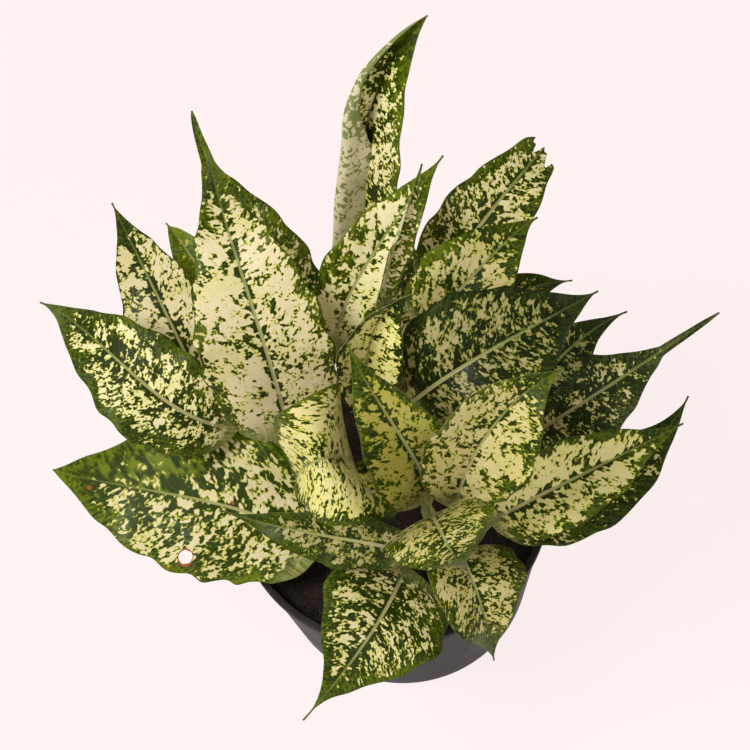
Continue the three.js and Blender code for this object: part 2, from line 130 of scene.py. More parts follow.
# Leaves, each named after its cane. The numbers are those of the solids: height on the cane, four
# points of the midrib, half width, the way the upper side faces, fold and curl of each half in
# degrees, height and beats of the margin's wave, and then whatever isn't usual.
LEAF_COLUMNS = ("height", "rib", "half", "face", "fold", "curl", "wave", "beats")
USUAL_LEAF = dict(widest=0.75, round=0.65, point=0.85, twist=0, strip=0, trim=None, roll=None)
LEAF_TABLE = {
    "front_1": (162, ((17, -44, 188), (12, -43, 236), (1, -31, 270), (-7, -14, 292)), 22,
        (0.3, -0.9, 0.4), (6, 30), (8, 8), 1.5, 2.5, dict(widest=0.58)),
    "front_2": (158, ((29, -53, 194), (39, -53, 242), (57, -46, 270), (82, -39, 282)), 26,
        (0.1, -0.9, 0.5), (8, 38), (8, 8), 1.5, 2.5, dict(widest=0.85)),
    "front_3": (154, ((17, -58, 194), (18, -76, 226), (21, -89, 230), (26, -92, 212)), 26,
        (0.1, -0.65, 0.7), (8, 8), (-14, -14), 1.5, 2.5, dict()),
    "front_4": (142, ((45, -58, 180), (71, -55, 194), (108, -42, 191), (147, -24, 178)), 21,
        (0, -0.5, 0.87), (22, 10), (-8, -8), 2, 3, dict()),
    "front_5": (148, ((28, -60, 152), (31, -79, 162), (34, -94, 148), (36, -104, 113)), 26,
        (0, -0.6, 0.8), (4, 50), (-12, -12), 1.5, 3, dict(widest=0.66)),
    "front_6": (126, ((0, -54, 131), (-14, -82, 147), (-35, -103, 141), (-63, -117, 112)), 33,
        (0, -0.5, 0.87), (12, 12), (-10, -10), 2, 3, dict(widest=0.6, point=1.5)),
    "front_7": (130, ((51, -42, 145), (82, -40, 149), (123, -25, 146), (159, 3, 153)), 23,
        (0, -0.4, 0.9), (2, 12), (-8, -8), 2, 3, dict()),
    "front_8": (134, ((4, -58, 159), (-22, -51, 169), (-50, -42, 174), (-85, -23, 170)), 15,
        (0, -0.7, 0.7), (12, 12), (0, 0), 1.5, 3, dict()),
    "front_9": (116, ((-41, -32, 118), (-79, -7, 132), (-125, 11, 138), (-179, 40, 125)), 40,
        (0, -0.4, 0.9), (6, 6), (-8, -18), 2.5, 3, dict(widest=0.85, round=0.4, point=0.6)),
    "left_1": (142, ((-17, -21, 196), (-23, -40, 240), (-35, -42, 240), (-44, -28, 196)), 33,
        (-0.1, -0.7, 0.7), (28, 14), (0, 0), 1.5, 2.5, dict()),
    "left_2": (147, ((-45, 4, 184), (-46, 19, 246), (-52, 57, 280), (-60, 126, 262)), 31,
        (0, -0.5, 0.87), (10, 10), (-6, -6), 2.5, 3, dict(widest=0.6)),
    "left_3": (126, ((-73, 29, 158), (-103, 32, 190), (-132, 65, 201), (-169, 116, 174)), 26,
        (-0.2, -0.3, 0.9), (12, 6), (-8, -8), 2.5, 3, dict()),
    "back_left_1": (132, ((-35, 24, 185), (-40, 57, 220), (-56, 110, 236), (-70, 188, 222)), 27,
        (0, -0.4, 0.9), (10, 10), (-8, -8), 2.5, 3, dict(point=2.2, strip=8)),
    "back_left_2": (124, ((-85, 42, 144), (-96, 77, 166), (-109, 117, 184), (-124, 166, 184)), 24,
        (-0.2, -0.4, 0.9), (12, 12), (-8, -8), 2, 3, dict()),
    "back_left_3": (118, ((-62, 84, 140), (-76, 108, 170), (-87, 129, 183), (-96, 149, 180)), 12,
        (0, -0.4, 0.9), (14, 14), (0, 0), 1, 2.5, dict()),
    "middle_1": (174, ((-5, -16, 197), (-2, -3, 236), (5, 6, 266), (24, 8, 287)), 19.5,
        (0.3, -0.7, 0.6), (14, 56), (10, 10), 1, 2, dict(widest=1.2, round=0.6)),
    "middle_2": (166, ((14, -14, 225), (39, -15, 254), (73, -3, 258), (112, 21, 241)), 31,
        (0, -0.5, 0.87), (10, 10), (-8, -8), 2, 3, dict()),
    "middle_3": (158, ((11, 14, 272), (17, 18, 302), (27, 25, 325), (37, 42, 333)), 8,
        (0.5, -0.8, 0.2), (40, 50), (0, 0), 1, 2, dict()),
    "middle_4": (136, ((5, -9, 150), (-5, -22, 165), (-18, -35, 167), (-34, -47, 157)), 16,
        (0, -0.5, 0.87), (10, 10), (0, 0), 1.5, 3, dict()),
    "back_1": (172, ((-7, 82, 186), (7, 96, 238), (22, 107, 297), (53, 119, 338)), 34,
        (0.2, -0.9, 0.4), (14, 74), (0, 0), 0, 2,
        dict(point=0.35, roll=dict(angle=172, turn=0.3, first=0.3, last=0.7, over=(0.5, 0.82)))),
    "back_2": (164, ((-14, 30, 220), (-1, 39, 252), (23, 56, 275), (51, 82, 284)), 18.5,
        (0, -0.7, 0.7), (10, 14), (-6, -6), 2, 2.5, dict()),
    "back_3": (156, ((38, 47, 224), (60, 59, 250), (88, 84, 256), (122, 126, 240)), 21,
        (0, -0.5, 0.87), (10, 10), (-6, -6), 2, 3, dict(widest=0.6, point=0.3, trim=0.8)),
    "back_4": (148, ((26, 24, 236), (43, 22, 256), (65, 35, 266), (90, 55, 260)), 22,
        (0, -0.5, 0.87), (8, 16), (0, 0), 1.5, 2.5, dict()),
    "back_5": (136, ((14, 74, 134), (16, 98, 152), (18, 126, 150), (18, 150, 130)), 22,
        (0, 0.2, 1), (10, 10), (-6, -6), 2, 3, dict()),
    "right_1": (140, ((52, 32, 194), (63, 38, 213), (83, 43, 218), (106, 46, 214)), 14,
        (0, 0.1, 1), (10, 10), (0, 0), 1.5, 3, dict()),
    "right_2": (132, ((51, -9, 178), (75, -5, 206), (99, 10, 214), (130, 29, 204)), 15,
        (0, -0.5, 0.87), (12, 12), (-6, -6), 2, 3, dict()),
    "right_3": (124, ((65, -9, 155), (97, -12, 193), (134, 4, 196), (180, 33, 180)), 23,
        (0.5, -0.1, 0.85), (12, 12), (-6, -6), 2, 3, dict(twist=20, widest=0.6, point=3.4, strip=5)),
    "right_4": (116, ((60, 30, 130), (76, 50, 150), (90, 74, 150), (100, 98, 134)), 21,
        (0.1, 0.1, 1), (10, 10), (-6, -6), 2, 3, dict()),
}
LEAVES = {
    name: {**USUAL_LEAF, "cane": name.rsplit("_", 1)[0], **dict(zip(LEAF_COLUMNS, row)), **unusual}
    for name, (*row, unusual) in LEAF_TABLE.items()
}

# How each leaf is coloured: the share of its blade that is cream, its cream and its green, how
# large its flecks are, how much green keeps to the midrib, the margin and the tip, and the angle
# in degrees at which the flecks lean away from the midrib. Leaves that lie in shade take a cream
# darkened to paint that shade, and one glossy leaf takes a green greyed to paint its sheen.
LOOKS = {
    "front_1": (0.7, "shade_darkened_lemon", "fresh", 0.75, 1.0, 1.0, 1.0, 30),
    "front_2": (0.7, "sand", "fresh", 0.75, 0.6, 0.7, 1.0, 28),
    "front_3": (0.46, "straw", "fresh", 0.5, 0.4, 0.8, 1.0, 40),
    "front_4": (0.66, "primrose", "fresh", 0.75, 0.8, 1.0, 0.6, 30),
    "front_5": (0.56, "sand", "fresh", 0.6, 0.5, 1.0, 1.0, 35),
    "front_6": (0.29, "ivory", "fresh", 0.75, 0.6, 1.2, 0.8, 48),
    "front_7": (0.22, "ivory", "deep", 0.7, 0.2, 1.0, 0.6, 30),
    "front_8": (0.42, "shade_darkened_khaki", "deep", 0.6, 0.2, 1.2, 1.0, 25),
    "front_9": (0.44, "ivory", "moss", 1.1, 0.3, 1.1, 0.8, 35),
    "left_1": (0.66, "primrose", "fresh", 0.8, 0.2, 1.0, 0.4, 50),
    "left_2": (0.74, "ivory", "fresh", 0.8, 1.0, 0.9, 0.7, 24),
    "left_3": (0.4, "milk", "fresh", 0.7, 0.5, 1.3, 0.7, 28),
    "back_left_1": (0.34, "milk", "moss", 0.75, 0.1, 0.7, 0.35, 30),
    "back_left_2": (0.68, "ivory", "deep", 0.75, 1.0, 0.3, 0.7, 22),
    "back_left_3": (0.12, "shade_darkened_lemon", "bright", 0.8, 0.0, 1.0, 1.0, 35),
    "middle_1": (0.74, "butter", "dark", 0.65, 0.2, 0.9, 0.7, 25),
    "middle_2": (0.29, "shade_darkened_khaki", "dark", 0.68, 0.3, 1.1, 1.0, 52),
    "middle_3": (0.5, "ivory", "moss", 0.5, 0.0, 0.3, 0.5, 15),
    "middle_4": (0.45, "shade_darkened_lemon", "deep", 0.7, 0.0, 1.0, 1.0, 35),
    "back_1": (0.42, "milk", "fresh", 0.62, 0.4, 0.6, 0.7, 12),
    "back_2": (0.72, "milk", "moss", 0.7, 0.3, 1.0, 1.0, 25),
    "back_3": (0.46, "ivory", "fresh", 0.72, 0.8, 0.8, 0.7, 32),
    "back_4": (0.54, "sand", "fresh", 0.68, 0.4, 0.8, 0.8, 32),
    "back_5": (0.4, "sand", "deep", 0.9, 0.0, 1.0, 1.0, 35),
    "right_1": (0.22, "sand", "deep", 0.6, 0.0, 1.0, 1.0, 35),
    "right_2": (0.24, "shade_darkened_khaki", "dark", 0.6, 0.2, 0.8, 1.0, 30),
    "right_3": (0.22, "ivory", "sheen_greyed_green", 0.65, 0.0, 0.9, 1.0, 30),
    "right_4": (0.4, "sand", "deep", 0.9, 0.0, 1.0, 1.0, 35),
}

# Colours as seen, red, green and blue from 0 to 255: the heart of a cream patch and its border,
# and a green at its darkest and its lightest.
CREAMS = {
    "milk": ((238, 227, 176), (211, 207, 96)),
    "ivory": ((223, 209, 166), (200, 194, 88)),
    "primrose": ((226, 214, 146), (202, 200, 76)),
    "butter": ((238, 229, 156), (210, 208, 78)),
    # A lemon cream, darker than the leaf's own, to paint the shade on leaves lying under others.
    "shade_darkened_lemon": ((180, 169, 84), (150, 148, 40)),
    "sand": ((209, 195, 137), (182, 177, 66)),
    "straw": ((202, 190, 124), (170, 166, 62)),
    # A khaki cream darkened to paint the shade on leaves lying under or behind others.
    "shade_darkened_khaki": ((176, 164, 116), (130, 128, 52)),
}
GREENS = {
    "fresh": ((36, 48, 0), (90, 104, 6)),
    "moss": ((44, 58, 0), (106, 118, 10)),
    "bright": ((66, 84, 2), (128, 142, 24)),
    "deep": ((32, 42, 1), (72, 86, 8)),
    "dark": ((24, 32, 2), (54, 66, 10)),
    # A dark green greyed and lightened to paint the sheen of light reflected off a glossy leaf.
    "sheen_greyed_green": ((38, 48, 16), (90, 98, 50)),
}
FLECK_BORDER = (134, 144, 30)
LATERAL_VEIN = (128, 138, 62)
MIDRIB = ((190, 180, 128), (138, 146, 70))
UNDERSIDE = ((130, 138, 80), (218, 208, 168))
UNDER_MIDRIB = (164, 172, 112)
STALK = ((96, 112, 44), (170, 166, 104))
SCORCH = (158, 84, 30)

# The round hole in a leaf: share along the blade, place across it and radius.
HOLES = {"front_9": (0.493, -0.777, 4.1)}
# Small brown dots: share along the blade, place across it and radius.
DOTS = {"front_9": ((0.372, 0.059, 0.6), (0.866, -0.305, 0.6), (0.545, -0.96, 0.4))}
# A stretch that stayed green: share along the blade, place across it, half length, half breadth.
PLAIN = {"front_9": (0.68, 0.46, 44, 17)}

# The stage, in metres and degrees: lamps as place, size across and power, and the camera.
LAMPS = {"window": ((-0.8, -0.2, 1.5), 0.7, 17.5), "front_card": ((0.5, -1.5, 1.2), 1.0, 7)}
LAMPS_FACE = (0, 0, 0.15)
SKY = (1.0, 0.965, 0.96, 1)
SKY_STRENGTH = 0.38
FLOOR_GLOW = 0.937
EYE = (2.1 * MM, -345.7 * MM, 842.3 * MM)
CAMERA_DOWN = 60.3
CAMERA_ROLL = 10
LENS = 72


# Numbers.


def lerp(a, b, share):
    return a + (b - a) * share


def ease(low, high, x):
    """0 below low, 1 above high, and an even S between them."""
    share = np.clip((x - low) / (high - low), 0, 1)
    return share * share * (3 - 2 * share)


def bell(x, breadth):
    """1 at 0, falling away to both sides: exp(-(x / breadth)^2)."""
    return np.exp(-(x / breadth) ** 2)


def waves(rows, turns, phase):
    """Sum of sine waves, each of its own height, beats and start."""
    return sum(high * np.sin(beats * turns + phase[..., k]) for k, (high, beats) in enumerate(rows))


def unit(v):
    return v / np.linalg.norm(v, axis=-1, keepdims=True)


def dot(a, b):
    return np.sum(a * b, axis=-1, keepdims=True)


def grain(x, y, size, seed):
    """Smooth random heights from -1 to 1: one number at each corner of a square lattice of
    the given size, and an eased blend of the four corners inside each square."""
    table = np.random.default_rng(seed).uniform(-1, 1, (256, 256))
    u, v = x / size + 1000, y / size + 1000
    i, j = np.floor(u).astype(int), np.floor(v).astype(int)
    a, b = ease(0, 1, u - i), ease(0, 1, v - j)

    def corner(p, q):
        return table[(i + p) % 256, (j + q) % 256]

    return lerp(lerp(corner(0, 0), corner(1, 0), a), lerp(corner(0, 1), corner(1, 1), a), b)


def through(points):
    """Handles of the cubic Bezier curve that passes four points at 0, 1/3, 2/3 and 1."""
    weights = [[1, 0, 0, 0], [-5 / 6, 3, -1.5, 1 / 3], [1 / 3, -1.5, 3, -5 / 6], [0, 0, 0, 1]]
    return np.array(weights) @ np.array(points, float)


def bezier(handles, t):
    """Points of a cubic Bezier curve: the four handles weighed by the Bernstein polynomials."""
    t = np.asarray(t, float)[..., None]
    a, b, c, d = handles
    return (1 - t) ** 3 * a + 3 * t * (1 - t) ** 2 * b + 3 * t ** 2 * (1 - t) * c + t ** 3 * d


def bezier_way(handles, t):
    """Unit direction of a cubic Bezier curve, from its three handle differences."""
    t = np.asarray(t, float)[..., None]
    a, b, c = np.diff(handles, axis=0)
    return unit((1 - t) ** 2 * a + 2 * t * (1 - t) * b + t ** 2 * c)


# Meshes.


def grid_quads(rows, columns, first=0, round_again=False):
    """Quads of a grid numbered row by row, closed across its columns if round_again."""
    i = np.arange(rows - 1)[:, None]
    j = np.arange(columns if round_again else columns - 1)[None]
    k = (j + 1) % columns
    low, high = i * columns, (i + 1) * columns
    return first + np.stack([low + j, low + k, high + k, high + j], -1).reshape(-1, 4)


def fan(tip, first, sides, turned_over=False):
    """Triangles from a tip to a closed ring of points numbered from first."""
    k = np.arange(sides)
    n = (k + 1) % sides
    a, b = (n, k) if turned_over else (k, n)
    return np.stack([np.full(sides, tip), first + a, first + b], -1)


def make_piece(name, points, quads, replaces, finish, tris=None, flat=None, marks=None):
    """A piece from whole arrays, in millimetres, that stands for a node of the frame."""
    tris = np.zeros((0, 3), int) if tris is None else tris
    points = np.asarray(points, float)
    corners = np.concatenate([quads.ravel(), tris.ravel()]).astype(np.int32)
    starts = np.concatenate([4 * np.arange(len(quads)), 4 * len(quads) + 3 * np.arange(len(tris))])
    smooth = np.ones(len(starts), bool) if flat is None else ~flat
    mesh = bpy.data.meshes.new(name)
    mesh.vertices.add(len(points))
    mesh.vertices.foreach_set("co", (points * MM).ravel().astype(np.float32))
    mesh.loops.add(len(corners))
    mesh.loops.foreach_set("vertex_index", corners)
    mesh.polygons.add(len(starts))
    mesh.polygons.foreach_set("loop_start", starts.astype(np.int32))
    mesh.polygons.foreach_set("use_smooth", smooth)
    mesh.update(calc_edges=True)
    for mark, values in (marks or {}).items():
        values = np.asarray(values, np.float32)
        kind, field = ("FLOAT", "value") if values.ndim == 1 else ("FLOAT_VECTOR", "vector")
        mesh.attributes.new(mark, kind, "POINT").data.foreach_set(field, values.ravel())
    piece = bpy.data.objects.new(name, mesh)
    bpy.context.scene.collection.objects.link(piece)
    mesh.materials.append(finish)
    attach(piece, "root")
    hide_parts(replaces)
    return piece


# Finishes.


class Reading:
    """A number on its way through a finish. Sums written with it add Math nodes."""

    def __init__(self, finish, socket):
        self.finish = finish
        self.socket = socket

    def sum(self, operation, *numbers):
        return self.finish.node("ShaderNodeMath", {"operation": operation}, dict(enumerate(numbers)))

    def __add__(self, other):
        return self.sum("ADD", self, other)

    __radd__ = __add__

    def __sub__(self, other):
        return self.sum("SUBTRACT", self, other)

    def __rsub__(self, other):
        return self.sum("SUBTRACT", other, self)

    def __mul__(self, other):
        return self.sum("MULTIPLY", self, other)

    __rmul__ = __mul__

    def __truediv__(self, other):
        return self.sum("DIVIDE", self, other)

    def __rtruediv__(self, other):
        return self.sum("DIVIDE", other, self)

    def __abs__(self):
        return self.sum("ABSOLUTE", self)


def paint(colour):
    """Linear red, green, blue and alpha of a colour as seen, 0 to 255."""
    seen = np.array(colour) / 255
    linear = np.where(seen <= 0.04045, seen / 12.92, ((seen + 0.055) / 1.055) ** 2.4)
    return (*(float(x) for x in linear), 1.0)


class Finish:
    """A procedural material and the nodes that are added to it."""

    def __init__(self, name, **constants):
        self.material = bpy.data.materials.new(name)
        self.material.use_nodes = True
        self.tree = self.material.node_tree
        self.tree.nodes.clear()
        self.skin = self.tree.nodes.new("ShaderNodeBsdfPrincipled")
        output = self.tree.nodes.new("ShaderNodeOutputMaterial")
        self.tree.links.new(self.skin.outputs["BSDF"], output.inputs["Surface"])
        for socket, value in constants.items():
            self.skin.inputs[socket.replace("_", " ")].default_value = value

    def feed(self, socket, value):
        if isinstance(value, Reading):
            self.tree.links.new(value.socket, socket)
        else:
            socket.default_value = value

    def node(self, kind, settings=None, sockets=None, output=0):
        """Any node: its type, then its settings, then the values or links of its sockets."""
        made = self.tree.nodes.new(kind)
        for key, value in (settings or {}).items():
            setattr(made, key, value)
        by_name = {socket.name: socket for socket in reversed(list(made.inputs))}
        by_name.update({socket.identifier: socket for socket in made.inputs})
        by_name.update(enumerate(made.inputs))
        for key, value in (sockets or {}).items():
            self.feed(by_name[key], value)
        if isinstance(output, str):
            return Reading(self, next(s for s in made.outputs if output in (s.identifier, s.name)))
        return Reading(self, made.outputs[output])

    def set(self, **sockets):
        for name, value in sockets.items():
            self.feed(self.skin.inputs[name.replace("_", " ")], value)

    def mark(self, name):
        """The three numbers of a mark laid on the mesh."""
        return self.split(self.node("ShaderNodeAttribute", {"attribute_name": name}, output="Vector"))

    def split(self, vector):
        whole = self.node("ShaderNodeSeparateXYZ", sockets={0: vector})
        return [Reading(self, socket) for socket in whole.socket.node.outputs]

    def single(self, name):
        """The one number of a mark laid on the mesh."""
        return self.node("ShaderNodeAttribute", {"attribute_name": name}, output="Fac")

    def vector(self, x, y, z):
        return self.node("ShaderNodeCombineXYZ", sockets={0: x, 1: y, 2: z})

    def body(self):
        """Place in the piece's own frame, in millimetres."""
        place = self.node("ShaderNodeTexCoord", output="Object")
        return self.node("ShaderNodeVectorMath", {"operation": "SCALE"}, {0: place, "Scale": 1 / MM})

    def noise(self, vector, scale=1.0, detail=0.0, roughness=0.5, turn=0.0):
        sockets = {"Vector": vector, "Scale": scale, "Detail": detail, "Roughness": roughness}
        return self.node("ShaderNodeTexNoise", sockets={**sockets, "Distortion": turn})

    def ease(self, value, low, high):
        sockets = {"Value": value, "From Min": low, "From Max": high}
        return self.node("ShaderNodeMapRange", {"interpolation_type": "SMOOTHSTEP"}, sockets)

    def mix(self, share, first, second):
        """Blend of two colours, each one a reading or a colour as seen."""
        first, second = (c if isinstance(c, Reading) else paint(c) for c in (first, second))
        sockets = {"Factor_Float": share, "A_Color": first, "B_Color": second}
        return self.node("ShaderNodeMix", {"data_type": "RGBA"}, sockets, "Result_Color")

    def relief(self, height, strength=1.0):
        """Bump from a height in millimetres."""
        sockets = {"Strength": strength, "Distance": MM, "Height": height}
        return self.node("ShaderNodeBump", sockets=sockets, output="Normal")


def leaf_finish(name, seed, cream, pale, green, fleck, ribside, rim, tip, lean):
    """Mottled leaf: random heights laid out along the slanting lateral veins, in four sizes
    added up, and everything above a level is cream. The level rises to the midrib, the margin,
    the tip and any plain stretch, which stay green, and just below it runs a thin yellow-green
    border. Over that lie faint lateral veins, the midrib, the silvery underside, the streaked
    stalk and the brown rim of a hole or a dot."""
    f = Finish(name, IOR=1.45, Specular_IOR_Level=0.16)
    along, across, edge = f.mark("place")
    t, under, stalk = f.mark("part")
    wide = abs(across)
    side = across.sum("SIGN", across)
    ahead, beside = math.cos(math.radians(lean)), math.sin(math.radians(lean))
    outward = along * ahead + wide * beside
    steep = 1 / math.tan(math.radians(lean + 10))
    forward = (along - wide * (wide * 0.011 + steep)) * beside
    apart = side * 7.3 + seed * 3.7

    def flecks(length, breadth, extra, detail=0.0, turn=0.0):
        place = f.vector(outward / length, forward / breadth, apart + extra)
        return f.noise(place, detail=detail, turn=turn)

    patch = flecks(14.0 * fleck, 9.5 * fleck, 0)
    spot = flecks(4.6 * fleck, 2.9 * fleck, 20, turn=0.5)
    speck = flecks(2.1 * fleck, 1.4 * fleck, 40, turn=0.5)
    grit = flecks(0.8, 0.7, 90)
    height = patch * 0.24 + spot * 0.37 + speck * 0.30 + grit * 0.09
    level = 0.5 - 0.080 * NormalDist().inv_cdf(cream)
    ragged = edge + (patch - 0.5) * 8
    margin = (1 - f.ease(ragged, 0.5, 7.5)) * (0.11 * rim)
    margin = margin + (1 - f.ease(edge + (spot - 0.5) * 3, 0.3, 1.3)) * 0.3 * (1 - under)
    point = f.ease(t + (patch - 0.5) * 0.2, 0.74, 0.95) * (0.22 * tip)
    rib_green = (1 - f.ease(wide + (spot - 0.5) * 6, 0.6, 3.6)) * (0.16 * ribside)
    unflecked = f.ease(f.single("plain") + (patch - 0.5) * 1.6, 0.0, 0.6) * 0.13
    over = height - level - margin - point - rib_green - unflecked + under * 0.06
    core = f.ease(over, -0.010, 0.010)
    halo = f.ease(over, -0.046, -0.002)
    heart = f.ease(over, 0.002, 0.050)

    broad = flecks(17, 26, 60, 1.0)
    fine = flecks(7, 1.5, 80, 2.0)
    pale_cream, warm_cream = CREAMS[pale]
    lit = f.ease(broad * 0.3 + fine * 0.3 + speck * 0.3 + ragged * -0.008, 0.32, 0.56)
    lit = lit + (1 - lit) * f.ease(unflecked, 0.02, 0.13) * f.ease(spot, 0.35, 0.65)
    leaf_green = f.mix(lit, *GREENS[green])
    leaf_cream = f.mix(heart * (0.7 + f.ease(broad, 0.35, 0.55) * 0.3), warm_cream, pale_cream)
    colour = f.mix(halo * 0.85, leaf_green, FLECK_BORDER)
    colour = f.mix(core, colour, leaf_cream)

    beat = forward / 5.2 + (broad - 0.5) * 0.8
    line = beat.sum("PINGPONG", beat, 0.5)
    lateral = (1 - f.ease(line, 0.0, 0.09)) * f.ease(edge, 0.5, 4.0) * (1 - stalk)
    colour = f.mix(lateral * 0.10, colour, LATERAL_VEIN)

    rib_width = 0.95 - 0.7 * t
    rib = (1 - f.ease(wide, rib_width, rib_width + 0.35)) * (1 - stalk)
    rib_seen = rib * (0.9 - f.ease(t, 0.5, 0.95) * 0.75)
    colour = f.mix(rib_seen, colour, f.mix(f.ease(t, 0.05, 0.75), *MIDRIB))

    beneath = f.mix(rib, f.mix(core * 0.85 + halo * 0.1, *UNDERSIDE), UNDER_MIDRIB)
    colour = f.mix(under, colour, beneath)

    streak = f.noise(f.vector(along / 26, across / 0.7, seed), detail=2.0)
    bare = f.ease(stalk, 0.3, 0.9)
    colour = f.mix(bare, colour, f.mix(f.ease(streak, 0.3, 0.7), *STALK))
    colour = f.mix(1 - f.ease(f.single("blemish"), 0.35, 1.1), colour, SCORCH)

    pores = f.noise(f.body(), scale=2.2, detail=2.0)
    quilt = f.ease(line, 0.0, 0.5)
    sheen = f.ease(broad, 0.45, 0.62)
    f.set(
        Base_Color=colour,
        Roughness=0.5 - sheen * 0.12 + under * 0.12 + core * 0.05,
        Normal=f.relief(
            quilt * 0.12 * (1 - stalk) + pores * 0.03 + streak * bare * 0.25 + fine * 0.05, 0.8,
        ),
    )
    return f.material


def cane_finish():
    """Green cane going tan lower down, with darker rings where old leaves have dropped."""
    f = Finish("ringed_cane", IOR=1.45)
    up, turn, ring = f.mark("place")
    blotch = f.noise(f.body(), scale=0.16, detail=3.0)
    streak = f.noise(f.vector(up / 9, turn / 1.2, 3.0), detail=2.0)
    green = f.mix(f.ease(streak, 0.3, 0.7), (86, 104, 48), (138, 146, 82))
    tan = f.mix(f.ease(blotch, 0.35, 0.65), (120, 104, 66), (158, 146, 104))
    colour = f.mix(f.ease(up + (blotch - 0.5) * 50, 92, 150), tan, green)
    scar = 1 - f.ease(ring, 0.1, 0.9)
    colour = f.mix(scar * 0.7, colour, (84, 66, 42))
    f.set(
        Base_Color=colour,
        Roughness=0.55 + (streak - 0.5) * 0.2,
        Normal=f.relief(streak * 0.25 + blotch * 0.2 - scar * 0.2, 0.9),
    )
    return f.material


def pot_finish():
    """Matte dark plastic: a fine moulded grain, faint mottling, dust on the lip, drag marks."""
    f = Finish("pot_plastic", IOR=1.46, Specular_IOR_Level=0.16)
    place = f.body()
    x, y, z = f.split(place)
    mottle = f.noise(place, scale=0.035, detail=4.0)
    speckle = f.noise(place, scale=1.1, detail=2.0)
    drag = f.noise(f.vector(x / 40, y / 40, z / 1.3), scale=1.0, detail=3.0)
    colour = f.mix(f.ease(mottle, 0.3, 0.7), (16, 13, 12), (28, 23, 21))
    dust = f.ease(z, 97.5, 103.5) * f.ease(speckle, 0.25, 0.7)
    colour = f.mix(dust * 0.18, colour, (100, 90, 87))
    colour = f.mix(f.ease(drag, 0.6, 0.75) * 0.15, colour, (98, 88, 86))
    f.set(
        Base_Color=colour,
        Roughness=0.50 + (mottle - 0.5) * 0.2 + (speckle - 0.5) * 0.12 + dust * 0.15,
        Normal=f.relief(speckle * 0.10 + drag * 0.05, 0.8),
    )
    return f.material


def peat_finish():
    """Near-black brown crumbs, darker where the crumb relief is low and paler where it is high, with
    fibres.
    """
    f = Finish("dark_brown_peat", IOR=1.4, Specular_IOR_Level=0.3)
    place = f.body()
    x, y, z = f.split(place)
    crumb = f.noise(place, scale=0.45, detail=5.0, roughness=0.65)
    patch = f.noise(place, scale=0.06, detail=2.0)
    fibre = f.noise(f.vector(x / 1.0 + patch * 6, y / 7 + crumb * 2, z / 3), detail=3.0)
    # The same crumb noise sets the colour and the relief, so the colour is darker in the relief's
    # hollows.
    colour = f.mix(f.ease(crumb, 0.35, 0.7), (16, 12, 10), (50, 38, 31))
    colour = f.mix(f.ease(patch, 0.4, 0.7) * 0.5, colour, (40, 27, 22))
    colour = f.mix(f.ease(fibre, 0.66, 0.74) * 0.6, colour, (112, 84, 58))
    f.set(
        Base_Color=colour,
        Roughness=0.85 + (patch - 0.5) * 0.3,
        Normal=f.relief(crumb * 1.1 + fibre * 0.3, 1.0),
    )
    return f.material


def floor_finish():
    """Plain pale paper with the faintest unevenness, which also glows a little, as paper lit
    from behind does."""
    f = Finish("pale_floor", Specular_IOR_Level=0.0, Emission_Strength=FLOOR_GLOW)
    cloud = f.noise(f.body(), scale=0.004, detail=2.0)
    f.set(
        Base_Color=f.mix(cloud, (87, 83, 82), (90, 86, 85)),
        Emission_Color=f.mix(cloud, (251, 239, 238), (252, 241, 240)),
        Roughness=0.95 + (cloud - 0.5) * 0.05,
    )
    return f.material


# Canes.


def cane_line(cane, share):
    """Centre line of a cane: the chordal Catmull-Rom curve through four points, each stretch
    a cubic whose end directions come from its neighbours weighed by the distances."""
    x, y = cane["foot"]
    top = np.array(cane["top"], float)
    soil = np.array([x, y, SOIL_MIDDLE], float)
    points = [np.array([x, y, SOIL_MIDDLE - CANE_DEPTH], float), soil, (soil + top) / 2, top]
    points = [2 * points[0] - points[1], *points, 2 * points[-1] - points[-2]]
    share = np.asarray(share, float)
    place = np.clip(share * 3, 0, 3)
    stretch = np.minimum(place.astype(int), 2)
    line = np.zeros(share.shape + (3,))
    for k in range(3):
        a, b, c, d = points[k : k + 4]
        ab, bc, cd = (np.linalg.norm(q - p) for p, q in ((a, b), (b, c), (c, d)))
        first = ((b - a) / ab - (c - a) / (ab + bc) + (c - b) / bc) * bc
        last = ((c - b) / bc - (d - b) / (bc + cd) + (d - c) / cd) * bc
        w = (place - k)[..., None]
        square, cube = 3 * (c - b) - 2 * first - last, 2 * (b - c) + first + last
        line = np.where((stretch == k)[..., None], b + first * w + square * w ** 2 + cube * w ** 3, line)
    return line


def cane_radius(share):
    return lerp(CANE_RADIUS, CANE_TIP_RADIUS, np.maximum(0, share * 2 - 1))


def cane_at(cane, height):
    """Centre and radius of a cane at a height."""
    share = np.linspace(0, 1, 4001)
    found = np.interp(height, cane_line(cane, share)[:, 2], share)
    return cane_line(cane, np.array(found)), float(cane_radius(found))


